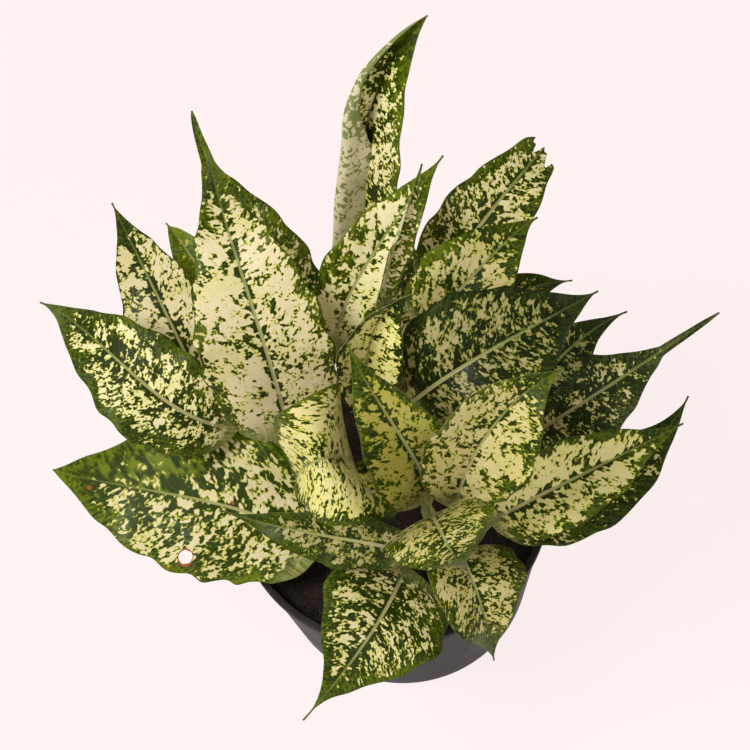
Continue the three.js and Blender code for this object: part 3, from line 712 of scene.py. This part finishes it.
def make_cane(name, cane, finish, seed):
    """A cane: circles carried up its centre line, with a ridge at each old leaf scar, a little
    unevenness, and a round end."""
    rng = np.random.default_rng(seed)
    sides, rows = 36, 150
    share = np.linspace(0, 1, rows)
    line = cane_line(cane, share)
    rings = np.arange(FIRST_SCAR, cane["top"][2] - 4, SCAR_SPACING)
    rings = rings + rng.uniform(-1.5, 1.5, len(rings))
    heights = [leaf["height"] for leaf in LEAVES.values() if leaf["cane"] == name]
    scars = np.sort(np.concatenate([rings, heights]))
    turn = np.linspace(0, 2 * np.pi, sides, endpoint=False)
    tilt = 0.8 * np.sin(turn[None] + share[:, None] * 30)
    apart = np.abs((line[:, 2:] + tilt)[..., None] - scars).min(-1)
    radius = cane_radius(share)[:, None] + 0.45 * bell(apart, 0.8) - 0.2 * bell(apart - 2.2, 1.4)
    radius = radius + 0.15 * np.sin(2 * turn + seed) + 0.1 * np.sin(3 * turn[None] + line[:, 2:] / 9)
    dome = np.linspace(0, 1, 8)[1:]
    rise = np.array([0, 0, 1]) * np.sin(dome * np.pi / 2)[:, None] * CANE_END
    line = np.concatenate([line, np.repeat(line[-1:], len(dome), 0) + rise])
    radius = np.concatenate([radius, radius[-1] * np.cos(dome * 0.97 * np.pi / 2)[:, None]])
    apart = np.concatenate([apart, np.full((len(dome), sides), 5.0)])
    ring = np.stack([np.cos(turn), np.sin(turn), np.zeros(sides)], -1)
    points = line[:, None] + radius[..., None] * ring
    rows = len(line)
    place = np.stack([points[..., 2], radius * turn, apart], -1)
    points = np.concatenate([points.reshape(-1, 3), line[:1], line[-1:] + np.array([0, 0, 0.05])])
    place = np.concatenate([place.reshape(-1, 3), [[line[0, 2], 0, 5]], [[line[-1, 2], 0, 5]]])
    foot = fan(rows * sides, 0, sides, turned_over=True)
    tip = fan(rows * sides + 1, (rows - 1) * sides, sides)
    return make_piece(
        "ringed_cane_" + name, points, grid_quads(rows, sides, round_again=True), "cane_" + name,
        finish, tris=np.concatenate([foot, tip]), marks={"place": place},
    )


# Leaves.


def blade_half(leaf, t):
    """Half width at a share t of the blade: half x sin(pi t^widest)^(round + point t)."""
    t = np.clip(t, 0, 1)
    swell = np.maximum(np.sin(np.pi * t ** leaf["widest"]), 0)
    return leaf["half"] * swell ** (leaf["round"] + leaf["point"] * t)


def leaf_across(leaf, half, s, t):
    """Across the blade: each half leaves the midrib at its fold angle and curls on at a steady
    rate to the margin, so it is an arc of a circle: out = (sin(fold + curl share) - sin fold) /
    curl, rise = (cos fold - cos(fold + curl share)) / curl. Gives the way right, the way up and
    the angle at which the blade rises there."""
    fold = np.radians(np.where(s < 0, leaf["fold"][0], leaf["fold"][1]))
    curl = np.radians(np.where(s < 0, leaf["curl"][0], leaf["curl"][1]))
    curl = np.where(np.abs(curl) < 1e-6, 1e-6, curl)
    share = np.abs(s)
    slope = fold + curl * share
    out = (np.sin(slope) - np.sin(fold)) / curl
    rise = (np.cos(fold) - np.cos(slope)) / curl
    if leaf["roll"]:
        rolled = rolled_over(leaf["roll"], fold, share, t)
        out, rise, slope = (np.where(s < 0, a, b) for a, b in zip(rolled, (out, rise, slope)))
    return half * np.sign(s) * out, half * rise, np.sign(s) * slope


def rolled_over(roll, fold, share, t):
    """A half that is rolled over: flat out to its fold line, then round a tight turn of the
    given angle, then flat again. The fold line lies further out towards the tip."""
    bend = math.radians(roll["angle"])
    start = lerp(roll["first"], roll["last"], ease(*roll["over"], t))
    radius = roll["turn"] / bend
    slope = fold + np.clip((share - start) / radius, 0, bend)
    flat, rest = np.minimum(share, start), np.maximum(0, share - start - roll["turn"])
    out = flat * np.cos(fold) + radius * (np.sin(slope) - np.sin(fold)) + rest * np.cos(slope)
    rise = flat * np.sin(fold) + radius * (np.cos(fold) - np.cos(slope)) + rest * np.sin(slope)
    return out, rise, slope


def stalk_line(leaf, rib):
    """Bezier handles of the stalk, which leaves the cane sideways, turns up and runs into the
    midrib."""
    axis, radius = cane_at(CANES[leaf["cane"]], leaf["height"])
    collar = rib[0]
    outward = unit((collar - axis) * np.array([1, 1, 0]))
    angle = math.radians(STALK_START_ANGLE)
    start = outward * math.cos(angle) + np.array([0, 0, math.sin(angle)])
    seat = radius + GAP + (STALK_HALF_HEIGHT + EDGE_THICKNESS / 2) * math.sin(angle)
    root = axis + outward * seat
    reach = np.linalg.norm(collar - root)
    first = root + start * min(STALK_START_PULL * reach, STALK_START_REACH)
    last = collar - bezier_way(rib, 0.0) * COLLAR_PULL * reach
    return np.stack([root, first, last, collar])


def oval_thickness(s, deep, groove, face):
    """Half thickness of the stalk's oval section, less the groove along its upper side."""
    thick = EDGE_THICKNESS / 2 + deep * np.sqrt(np.clip(1 - s * s, 0, 1))
    return thick - groove * bell(s, STALK_GROOVE_WIDTH) if face > 0 else thick


def leaf_marks(along, half, s, t, stalk, face):
    """What the finish reads: the way along, across and in from the margin, in millimetres, then
    the share of the blade, 1 for the underside and 1 for the stalk."""
    place = np.stack([along, half * s, half * (1 - np.abs(s))], -1)
    return place, np.stack([t, np.full(t.shape, 0.0 if face > 0 else 1.0), stalk], -1)


def curve_length(handles, steps):
    line = bezier(handles, np.linspace(0, 1, steps))
    return float(np.linalg.norm(np.diff(line, axis=0), axis=1).sum())


class LeafForm:
    """The form of one leaf: its curves and frames, and a point for any place on it."""

    def __init__(self, name, leaf):
        self.leaf = leaf
        self.rib = through(leaf["rib"])
        self.stalk = stalk_line(leaf, self.rib)
        self.side = unit(np.cross(bezier_way(self.rib, 0.5), np.array(leaf["face"], float)))
        self.length = curve_length(self.rib, 400)
        self.stalk_length = curve_length(self.stalk, 200)
        rng = np.random.default_rng(sum(map(ord, name)))
        self.phase = rng.uniform(0, 2 * np.pi, (2, 5))

    def frame_at(self, t):
        """Centre, way right and way up at a share t of the blade: the way right is the leaf's
        side made square to the midrib, then twisted about it."""
        along = bezier_way(self.rib, t)
        right = unit(self.side - dot(self.side, along) * along)
        angle = (math.radians(self.leaf["twist"]) * (t - 0.5))[..., None]
        right = right * np.cos(angle) + np.cross(along, right) * np.sin(angle)
        return bezier(self.rib, t), right, np.cross(right, along)

    def blade(self, t, s, face):
        """A point of the blade at a share t along it and s across it, on the upper (1) or
        lower (-1) face. Over the first part of the blade the stalk's round section melts into
        the thin sheet. Added to the solid's form are a ripple of the margin, shallow pleats
        along the lateral veins, a groove over the midrib and a rounded keel under it, all laid
        off square to the blade."""
        leaf = self.leaf
        centre, right, up = self.frame_at(t)
        stalk = np.maximum(0, 1 - t / COLLAR_LENGTH) ** 2
        strip = leaf["strip"] * np.sqrt(np.clip(1 - t, 0, 1))
        half = blade_half(leaf, t) + STALK_HALF_WIDTH * stalk
        half = np.maximum(np.maximum(TIP_HALF_WIDTH, strip), half)
        sheet = 1 - stalk
        phase = self.phase[(s > 0).astype(int)]
        turns = 2 * np.pi * t * self.length / 100
        half = half * (1 + waves(RAGGED, turns, phase[..., 2:]) * sheet * np.abs(s) ** 2)
        x, z, lean = leaf_across(leaf, half, s, t)
        beat = leaf["wave"] * np.sin(2 * np.pi * leaf["beats"] * t + np.where(s < 0, 0, WAVE_LAG))
        body = np.sin(np.pi * np.clip(t, 0, 1))
        calm = 1.0 if leaf["wave"] > 0 else 0.3
        wave = (beat + 0.8 * s ** 2 * waves(RIPPLE, turns, phase) * calm) * s * s * body
        wide = half * np.abs(s)
        vein = 2 * np.pi * ((t * self.length - wide * VEIN_RUN) / VEIN_STEP) / VEIN_SPACING
        pleat = PLEAT * np.cos(vein + phase[..., 4]) * np.sin(np.pi * np.clip(np.abs(s), 0, 1))
        rib_width = RIB_WIDTH - t
        keel = KEEL * (1 - t) * bell(wide, rib_width + 0.3) if face < 0 else 0
        groove = GROOVE * (1 - t) * bell(wide, rib_width) if face > 0 else 0
        thin = lerp(0.5, 1, ease(0, MARGIN_WIDTH, half * (1 - np.abs(s))))
        sheet_thick = EDGE_THICKNESS / 2 * BLADE_SHARE * thin + keel - groove
        thick = lerp(oval_thickness(s, STALK_HALF_HEIGHT, STALK_GROOVE, face), sheet_thick, sheet)
        off = face * thick + sheet * (pleat * body * calm)
        sideways = (lerp(half * s, x, sheet) - off * np.sin(sheet * lean))[..., None]
        upwards = (sheet * (z + wave) + off * np.cos(sheet * lean))[..., None]
        marks = leaf_marks(t * self.length, half, s, t, stalk, face)
        return centre + right * sideways + up * upwards, *marks

    def petiole(self, q, s, face):
        """A point of the stalk at a share q from the cane to the collar: a grooved oval that
        widens into a sheath where it clasps the cane. Below q = 0 it runs on towards the cane."""
        line = np.clip(q, 0, 1)
        along = bezier_way(self.stalk, line)
        centre = bezier(self.stalk, line) + along * (np.minimum(q, 0) * self.stalk_length)[..., None]
        _, collar_right, _ = self.frame_at(np.zeros(q.shape))
        right = unit(collar_right - dot(collar_right, along) * along)
        up = np.cross(right, along)
        sheath = 1 - ease(-1, SHEATH_LENGTH, q * self.stalk_length)
        half = STALK_HALF_WIDTH + SHEATH_WIDER * sheath
        deep = STALK_HALF_HEIGHT + SHEATH_DEEPER * sheath
        thick = oval_thickness(s, deep, STALK_GROOVE + 0.8 * sheath, face)
        at_base, stalk = np.zeros(q.shape), np.ones(q.shape)
        marks = leaf_marks((q - 1) * self.stalk_length, half, s, at_base, stalk, face)
        return centre + right * (half * s)[..., None] + up * (face * thick)[..., None], *marks


def from_spot(form, place, t, s):
    """Ways along and across from a spot of the blade, in millimetres."""
    half = float(blade_half(form.leaf, np.array(t)))
    return place[:, 0] - t * form.length, place[:, 1] - half * s


def blemish_of(name, form, place):
    """Distance from the rim of the nearest hole or brown dot, in millimetres."""
    far = np.full(len(place), 50.0)
    for t, s, radius in (*DOTS.get(name, ()), *([HOLES[name]] if name in HOLES else [])):
        far = np.minimum(far, np.hypot(*from_spot(form, place, t, s)) - radius)
    return far


def plain_of(name, form, place):
    """How far inside the leaf's plain green stretch: 1 in its middle, 0 on its edge."""
    if name not in PLAIN:
        return np.full(len(place), -9.0)
    t, s, long, broad = PLAIN[name]
    along, across = from_spot(form, place, t, s)
    return 1 - np.hypot(along / long, across / broad)


def torn_end(name, share, s):
    """Share of the blade for each row and column: even rows, or for a leaf that has lost its
    tip, rows that end on an uneven line of two notches."""
    trim = LEAVES[name]["trim"]
    if trim is None:
        return share + 0 * s
    notch = 0.018 * np.sin(7 * s + 0.6) + 0.012 * np.sin(15 * s + 2) - 0.03 * ease(0.1, 0.9, s)
    return share * trim + notch * ease(0.6, 1, share)


def make_leaf(name, seed):
    """A leaf: a closed sheet on a grid of shares along it and places across it, upper and lower
    face alike, joined by a thin wall round the margin and at both ends."""
    leaf = LEAVES[name]
    form = LeafForm(name, leaf)
    halves = max(14, round(leaf["half"] / GRID_ACROSS))
    even = np.linspace(-1, 1, 2 * halves + 1)
    share = np.linspace(0, 1, max(44, round(form.length / GRID_ALONG)))
    share = lerp(share, (1 - np.cos(np.pi * share)) / 2, 0.5)[:, None]
    stalk = np.maximum(0, 1 - share / COLLAR_LENGTH) ** 2
    oval, flat_way = np.sin(even * np.pi / 2), np.sign(even) * np.abs(even) ** 1.35
    s = lerp(flat_way[None], oval[None], stalk)
    t = torn_end(name, share, s)
    stalk_rows = max(10, round(form.stalk_length / STALK_GRID))
    run_on = np.array(STALK_RUN_ON) / form.stalk_length
    q = np.concatenate([run_on, np.linspace(0, 1, stalk_rows, endpoint=False)])
    q, s_stalk = np.broadcast_arrays(q[:, None], oval[None])
    rows, columns = len(q) + len(t), len(even)
    faces = []
    for face in (1, -1):
        low = form.petiole(q, s_stalk, face)
        high = form.blade(t, s, face)
        faces.append([np.concatenate([a, b]).reshape(-1, 3) for a, b in zip(low, high)])
    points, place, part = (np.concatenate([upper, lower]) for upper, lower in zip(*faces))

    count = rows * columns
    quads = grid_quads(rows, columns)
    ring_quads, rim = [], []
    if name in HOLES:
        quads, ring_quads, rim, rings = cut_hole(name, form, t, s, quads, rows)
        points, place, part = (np.concatenate([a, b]) for a, b in zip((points, place, part), rings))
    right, left = np.arange(1, rows + 1) * columns - 1, np.arange(rows) * columns
    foot = np.arange(columns)
    tip = (rows - 1) * columns + foot
    walls = [
        (right[:-1], right[:-1] + count, right[1:] + count, right[1:]),
        (left[1:], left[1:] + count, left[:-1] + count, left[:-1]),
        (foot[1:], foot[:-1], foot[:-1] + count, foot[1:] + count),
        (tip[:-1], tip[1:], tip[1:] + count, tip[:-1] + count),
    ]
    smooth_quads = [quads, quads[:, ::-1] + count, *ring_quads]
    faces = np.concatenate([*smooth_quads, *(np.stack(wall, -1) for wall in walls), *rim])
    flat = np.arange(len(faces)) >= sum(map(len, smooth_quads))
    finish = leaf_finish("leaf_skin_" + name, seed, *LOOKS[name])
    return make_piece(
        "veined_leaf_" + name, points, faces, "leaf_" + name, finish, flat=flat,
        marks={
            "place": place, "part": part,
            "blemish": blemish_of(name, form, place), "plain": plain_of(name, form, place),
        },
    )


def cut_hole(name, form, t, s, quads, rows):
    """Takes a block of quads out of the blade and fills it again up to a round, slightly uneven
    hole: rings of points from the block's edge to the hole's rim. Gives the quads that are kept,
    those of the rings on both faces, the thin wall inside the hole, and the rings' points."""
    columns = s.shape[-1]
    stalk_rows = rows - len(t)
    hole_t, hole_s, radius = HOLES[name]
    half = float(blade_half(form.leaf, np.array(hole_t)))
    reach = radius + HOLE_BORDER
    ts, ss = t[:, 0], s[int(len(t) / 2)]
    i0, i1 = np.searchsorted(ts, [hole_t - reach / form.length, hole_t + reach / form.length])
    j0, j1 = np.searchsorted(ss, [hole_s - reach / half, hole_s + reach / half])
    i0, j0 = i0 - 1, j0 - 1
    block = np.concatenate([
        np.stack([np.full(j1 - j0, i0), np.arange(j0, j1)], -1),
        np.stack([np.arange(i0, i1), np.full(i1 - i0, j1)], -1),
        np.stack([np.full(j1 - j0, i1), np.arange(j1, j0, -1)], -1),
        np.stack([np.arange(i1, i0, -1), np.full(i1 - i0, j0)], -1),
    ])
    bt, bs = t[block[:, 0], block[:, 1]], s[block[:, 0], block[:, 1]]
    angle = np.arctan2((bt - hole_t) * form.length, (bs - hole_s) * half)
    rim = radius * (1 - 0.10 * np.cos(2 * angle) + 0.04 * np.sin(5 * angle))
    ct, cs = hole_t + rim * np.sin(angle) / form.length, hole_s + rim * np.cos(angle) / half
    steps = np.array([0.35, 0.65, 0.85, 1.0])[:, None]
    rt, rs = lerp(bt, ct, steps), lerp(bs, cs, steps)
    upper, lower = (form.blade(rt, rs, face) for face in (1, -1))
    rings = [np.concatenate([a, b]).reshape(-1, 3) for a, b in zip(upper, lower)]
    row, column = quads[:, 0] // columns - stalk_rows, quads[:, 0] % columns
    kept = quads[~((row >= i0) & (row < i1) & (column >= j0) & (column < j1))]

    count, around = rows * columns, len(block)
    edge = (block[:, 0] + stalk_rows) * columns + block[:, 1]
    added = 2 * count + np.arange(2 * len(steps) * around).reshape(2, len(steps), around)
    top, under = [edge, *added[0]], [edge + count, *added[1]]

    def join(outer, inner):
        return np.stack([outer, np.roll(outer, -1), np.roll(inner, -1), inner], -1)

    top_quads = [join(a, b) for a, b in zip(top, top[1:])]
    under_quads = [join(a, b)[:, ::-1] for a, b in zip(under, under[1:])]
    return kept, top_quads + under_quads, [join(top[-1], under[-1])], rings


# Pot and peat.


def wall_inside(height):
    share = (height - BASE_FLOOR) / (POT_HEIGHT - 0.7 - BASE_FLOOR)
    return lerp(BASE_RADIUS - WALL, MOUTH_RADIUS, share)


def rounded(corners, radii, steps=6):
    """A line through corners, each turned on a quadratic curve that leaves its two sides at the
    given distance from the corner."""
    corners = np.array(corners, float)
    line = [corners[:1]]
    for before, corner, after, radius in zip(corners, corners[1:], corners[2:], radii):
        a = corner + unit(before - corner) * radius
        b = corner + unit(after - corner) * radius
        w = np.linspace(0, 1, steps)[:, None]
        line.append((1 - w) ** 2 * a + 2 * w * (1 - w) * corner + w ** 2 * b)
    line.append(corners[-1:])
    return np.concatenate(line)


def turned(profile, sides):
    """Points of a profile of radius and height carried round the upright axis."""
    turn = np.linspace(0, 2 * np.pi, sides, endpoint=False)
    radius, height = profile[:, :1], profile[:, 1:]
    x, y = radius * np.cos(turn), radius * np.sin(turn)
    return np.stack([x, y, np.broadcast_to(height, x.shape)], -1)


def holed_floor(height, facing, first):
    """A flat band with a ring of round holes: in each of the equal sectors the sector's edge
    shrinks in even steps to the hole's circle."""
    inner, outer = DRAIN_BAND
    per = POT_SIDES // DRAIN_HOLES
    steps, radial = 5, 6
    points, quads, rims = [], [], []
    for hole in range(DRAIN_HOLES):
        start = hole * 2 * np.pi / DRAIN_HOLES
        turns = start + np.linspace(0, 2 * np.pi / DRAIN_HOLES, per + 1)
        radii = np.linspace(inner, outer, radial + 1)
        edge_r = np.concatenate([np.full(per, inner), radii[:-1], np.full(per, outer), radii[:0:-1]])
        edge_a = np.concatenate([
            turns[:-1], np.full(radial, turns[-1]), turns[:0:-1], np.full(radial, turns[0]),
        ])
        x, y = edge_r * np.cos(edge_a), edge_r * np.sin(edge_a)
        middle = start + np.pi / DRAIN_HOLES
        cx, cy = DRAIN_CIRCLE * np.cos(middle), DRAIN_CIRCLE * np.sin(middle)
        way = np.arctan2(y - cy, x - cx)
        w = np.linspace(0, 1, steps + 1)[:, None]
        px = lerp(x, cx + DRAIN_RADIUS * np.cos(way), w)
        py = lerp(y, cy + DRAIN_RADIUS * np.sin(way), w)
        block = np.stack([px, py, np.full(px.shape, float(height))], -1)
        around = len(x)
        base = first + hole * around * (steps + 1)
        grid = grid_quads(steps + 1, around, base, round_again=True)
        points.append(block.reshape(-1, 3))
        quads.append(grid if facing < 0 else grid[:, ::-1])
        rims.append(base + steps * around + np.arange(around))
    return np.concatenate(points), np.concatenate(quads), rims


def make_pot(finish):
    """The pot: a profile with a rounded foot and a small turned lip carried round the axis, and
    a flat floor with drain holes between its underside and its inside."""
    lip = POT_HEIGHT - LIP_HEIGHT
    inner, outer = DRAIN_BAND
    corners = [
        (outer, 0), (BASE_RADIUS - 1, 0), (BASE_RADIUS, BASE_ROUND), (NECK_RADIUS, lip),
        (RIM_RADIUS, lip + 0.4), (RIM_RADIUS, POT_HEIGHT), (MOUTH_RADIUS, POT_HEIGHT),
        (MOUTH_RADIUS, POT_HEIGHT - 1.4), (BASE_RADIUS - WALL, BASE_FLOOR), (outer, BASE_FLOOR),
    ]
    profile = rounded(corners, [2.0, 1.6, 0.5, 0.5, 0.9, 0.9, 0.4, 1.0])
    long = np.flatnonzero(np.linalg.norm(np.diff(profile, axis=0), axis=1) > 20)
    for k in long[::-1]:
        between = lerp(profile[k], profile[k + 1], np.linspace(0, 1, 14)[1:-1, None])
        profile = np.insert(profile, k + 1, between, axis=0)
    points = [turned(profile, POT_SIDES).reshape(-1, 3)]
    wall = grid_quads(len(profile), POT_SIDES, round_again=True)
    flats, rims = [], []
    for height, facing in ((0, -1), (BASE_FLOOR, 1)):
        disc = np.array([[inner, height], [20, height], [0.5, height]], float)
        grid = grid_quads(len(disc), POT_SIDES, sum(map(len, points)), round_again=True)
        points.append(turned(disc, POT_SIDES).reshape(-1, 3))
        holed, holed_quads, hole_rims = holed_floor(height, facing, sum(map(len, points)))
        points.append(holed)
        flats += [grid if facing < 0 else grid[:, ::-1], holed_quads]
        rims.append(hole_rims)
    for low, high in zip(*rims):
        flats.append(np.stack([low, high, np.roll(high, -1), np.roll(low, -1)], -1))
    faces = np.concatenate([wall, *flats])
    flat = np.arange(len(faces)) >= len(wall)
    return make_piece(
        "plastic_pot", np.concatenate(points), faces, "pot", finish, flat=flat,
    )


def make_peat(finish):
    """Peat: rings of points whose height falls from the middle to the wall, with three sizes of
    random grain and a slight mound round each cane, then down inside the wall and across the
    bottom, and a few hundred loose crumbs lying on it."""
    sides, rings = 256, 74
    edge = wall_inside(SOIL_TOP) + 0.15
    radius = np.linspace(0, 1, rings)[1:, None] * edge
    turn = np.linspace(0, 2 * np.pi, sides, endpoint=False)[None]
    x, y = radius * np.cos(turn), radius * np.sin(turn)

    def surface(x, y):
        out = np.hypot(x, y)
        height = SOIL_MIDDLE - SOIL_FALL * ease(edge - SOIL_FALL_WIDTH, edge, out)
        for high, size, seed in SOIL_GRAINS:
            height = height + high * grain(x, y, size, seed)
        for cane in CANES.values():
            away = np.hypot(x - cane["foot"][0], y - cane["foot"][1])
            height = height + 1.2 * bell(away - CANE_RADIUS, 4)
        return height - 0.6

    top = np.stack([x, y, surface(x, y)], -1)
    bottom = BASE_FLOOR + GAP
    down = np.array([[wall_inside(z) - 0.1, z] for z in (88, 60, 30, bottom)])
    down = np.concatenate([down, [[40, bottom], [1, bottom]]])
    points = np.concatenate([top, turned(down, sides)]).reshape(-1, 3)
    rows = rings - 1 + len(down)
    quads = grid_quads(rows, sides, round_again=True)[:, ::-1]
    middle = fan(len(points), 0, sides)
    under = fan(len(points) + 1, (rows - 1) * sides, sides, turned_over=True)
    centre = float(surface(np.array(0.0), np.array(0.0)))
    points = np.concatenate([points, [[0, 0, centre]], [[0, 0, bottom]]])

    rng = np.random.default_rng(5)
    across, rise = 7, 5
    lat = np.linspace(-np.pi / 2, np.pi / 2, rise)[1:-1][:, None]
    lon = np.linspace(0, 2 * np.pi, across, endpoint=False)[None]
    ball = [np.cos(lat) * np.cos(lon), np.cos(lat) * np.sin(lon), np.sin(lat) + 0 * lon]
    ball = np.concatenate([np.stack(ball, -1).reshape(-1, 3), [[0, 0, -1], [0, 0, 1]]])
    size = rng.uniform(0.5, 1.7, CRUMBS) ** 1.3
    lump = ball[None] * rng.uniform(0.65, 1.25, (CRUMBS, len(ball), 1))
    lump = lump * rng.uniform(0.6, 1.3, (CRUMBS, 1, 3))
    angle = rng.uniform(0, 2 * np.pi, CRUMBS)[:, None]
    lump = np.stack([
        lump[..., 0] * np.cos(angle) - lump[..., 1] * np.sin(angle),
        lump[..., 0] * np.sin(angle) + lump[..., 1] * np.cos(angle),
        lump[..., 2] * 0.8,
    ], -1) * size[:, None, None]
    out = (edge - 2.5) * np.sqrt(rng.uniform(0, 1, CRUMBS))
    way = rng.uniform(0, 2 * np.pi, CRUMBS)
    px, py = out * np.cos(way), out * np.sin(way)
    lump = lump + np.stack([px, py, surface(px, py) + 0.25 * size], -1)[:, None]
    body = grid_quads(rise - 2, across, round_again=True)
    low = fan(len(ball) - 2, 0, across, turned_over=True)
    high = fan(len(ball) - 1, (rise - 3) * across, across)
    each = (len(points) + np.arange(CRUMBS) * len(ball))[:, None, None]
    points = np.concatenate([points, lump.reshape(-1, 3)])
    quads = np.concatenate([quads, (body[None] + each).reshape(-1, 4)])
    ends = (np.concatenate([low, high])[None] + each).reshape(-1, 3)
    tris = np.concatenate([middle, under, ends])
    return make_piece("crumbly_peat", points, quads, "soil", finish, tris=tris)


# Stage.


def make_stage():
    """A wide level floor, a pale surround, a big soft light from the upper left and a weak one
    from the front."""
    side = np.linspace(-3, 3, 5)
    x, y = np.meshgrid(side, side)
    points = np.stack([x, y, 0 * x], -1).reshape(-1, 3)
    mesh = bpy.data.meshes.new("pale_floor")
    mesh.from_pydata(points.tolist(), [], grid_quads(5, 5).tolist())
    mesh.materials.append(floor_finish())
    floor = bpy.data.objects.new("pale_floor", mesh)
    bpy.context.scene.collection.objects.link(floor)
    world = bpy.data.worlds.new("pale_room")
    world.use_nodes = True
    sky = world.node_tree.nodes["Background"]
    sky.inputs["Color"].default_value = SKY
    sky.inputs["Strength"].default_value = SKY_STRENGTH
    bpy.context.scene.world = world
    for name, lamp in LAMPS.items():
        add_light(name, *lamp)


def stand(thing, right, up, back, place):
    """Puts a light or a camera into the scene, given its three axes and its place."""
    rows = np.stack([right, up, back, place], -1)
    thing.matrix_world = Matrix([*rows.tolist(), [0, 0, 0, 1]])
    bpy.context.scene.collection.objects.link(thing)


def add_light(name, place, size, power):
    lamp = bpy.data.lights.new(name, "AREA")
    lamp.shape = "DISK"
    lamp.size = size
    lamp.energy = power
    place = np.array(place, float)
    back = unit(place - np.array(LAMPS_FACE, float))
    right = unit(np.cross([0, 0, 1], back))
    stand(bpy.data.objects.new(name, lamp), right, np.cross(back, right), back, place)


def make_camera():
    """The photograph's camera, which looks 60.3 degrees down, rolled 10 degrees."""
    down, roll = math.radians(CAMERA_DOWN), math.radians(CAMERA_ROLL)
    ahead = np.array([0, math.cos(down), -math.sin(down)])
    above = np.array([0, math.sin(down), math.cos(down)])
    beside = np.array([1.0, 0, 0])
    right = math.cos(roll) * beside - math.sin(roll) * above
    up = math.sin(roll) * beside + math.cos(roll) * above
    camera = bpy.data.objects.new("camera", bpy.data.cameras.new("camera"))
    camera.data.lens = LENS
    camera.data.sensor_width = 36
    camera.data.clip_start = 0.01
    stand(camera, right, up, -ahead, np.array(EYE))
    bpy.context.scene.camera = camera


make_camera()
make_stage()
make_pot(pot_finish())
make_peat(peat_finish())
cane_skin = cane_finish()
for number, (cane_name, cane) in enumerate(CANES.items()):
    make_cane(cane_name, cane, cane_skin, number + 1)
for number, leaf_name in enumerate(LEAVES):
    make_leaf(leaf_name, number + 1)
bpy.context.scene.view_settings.view_transform = "Standard"
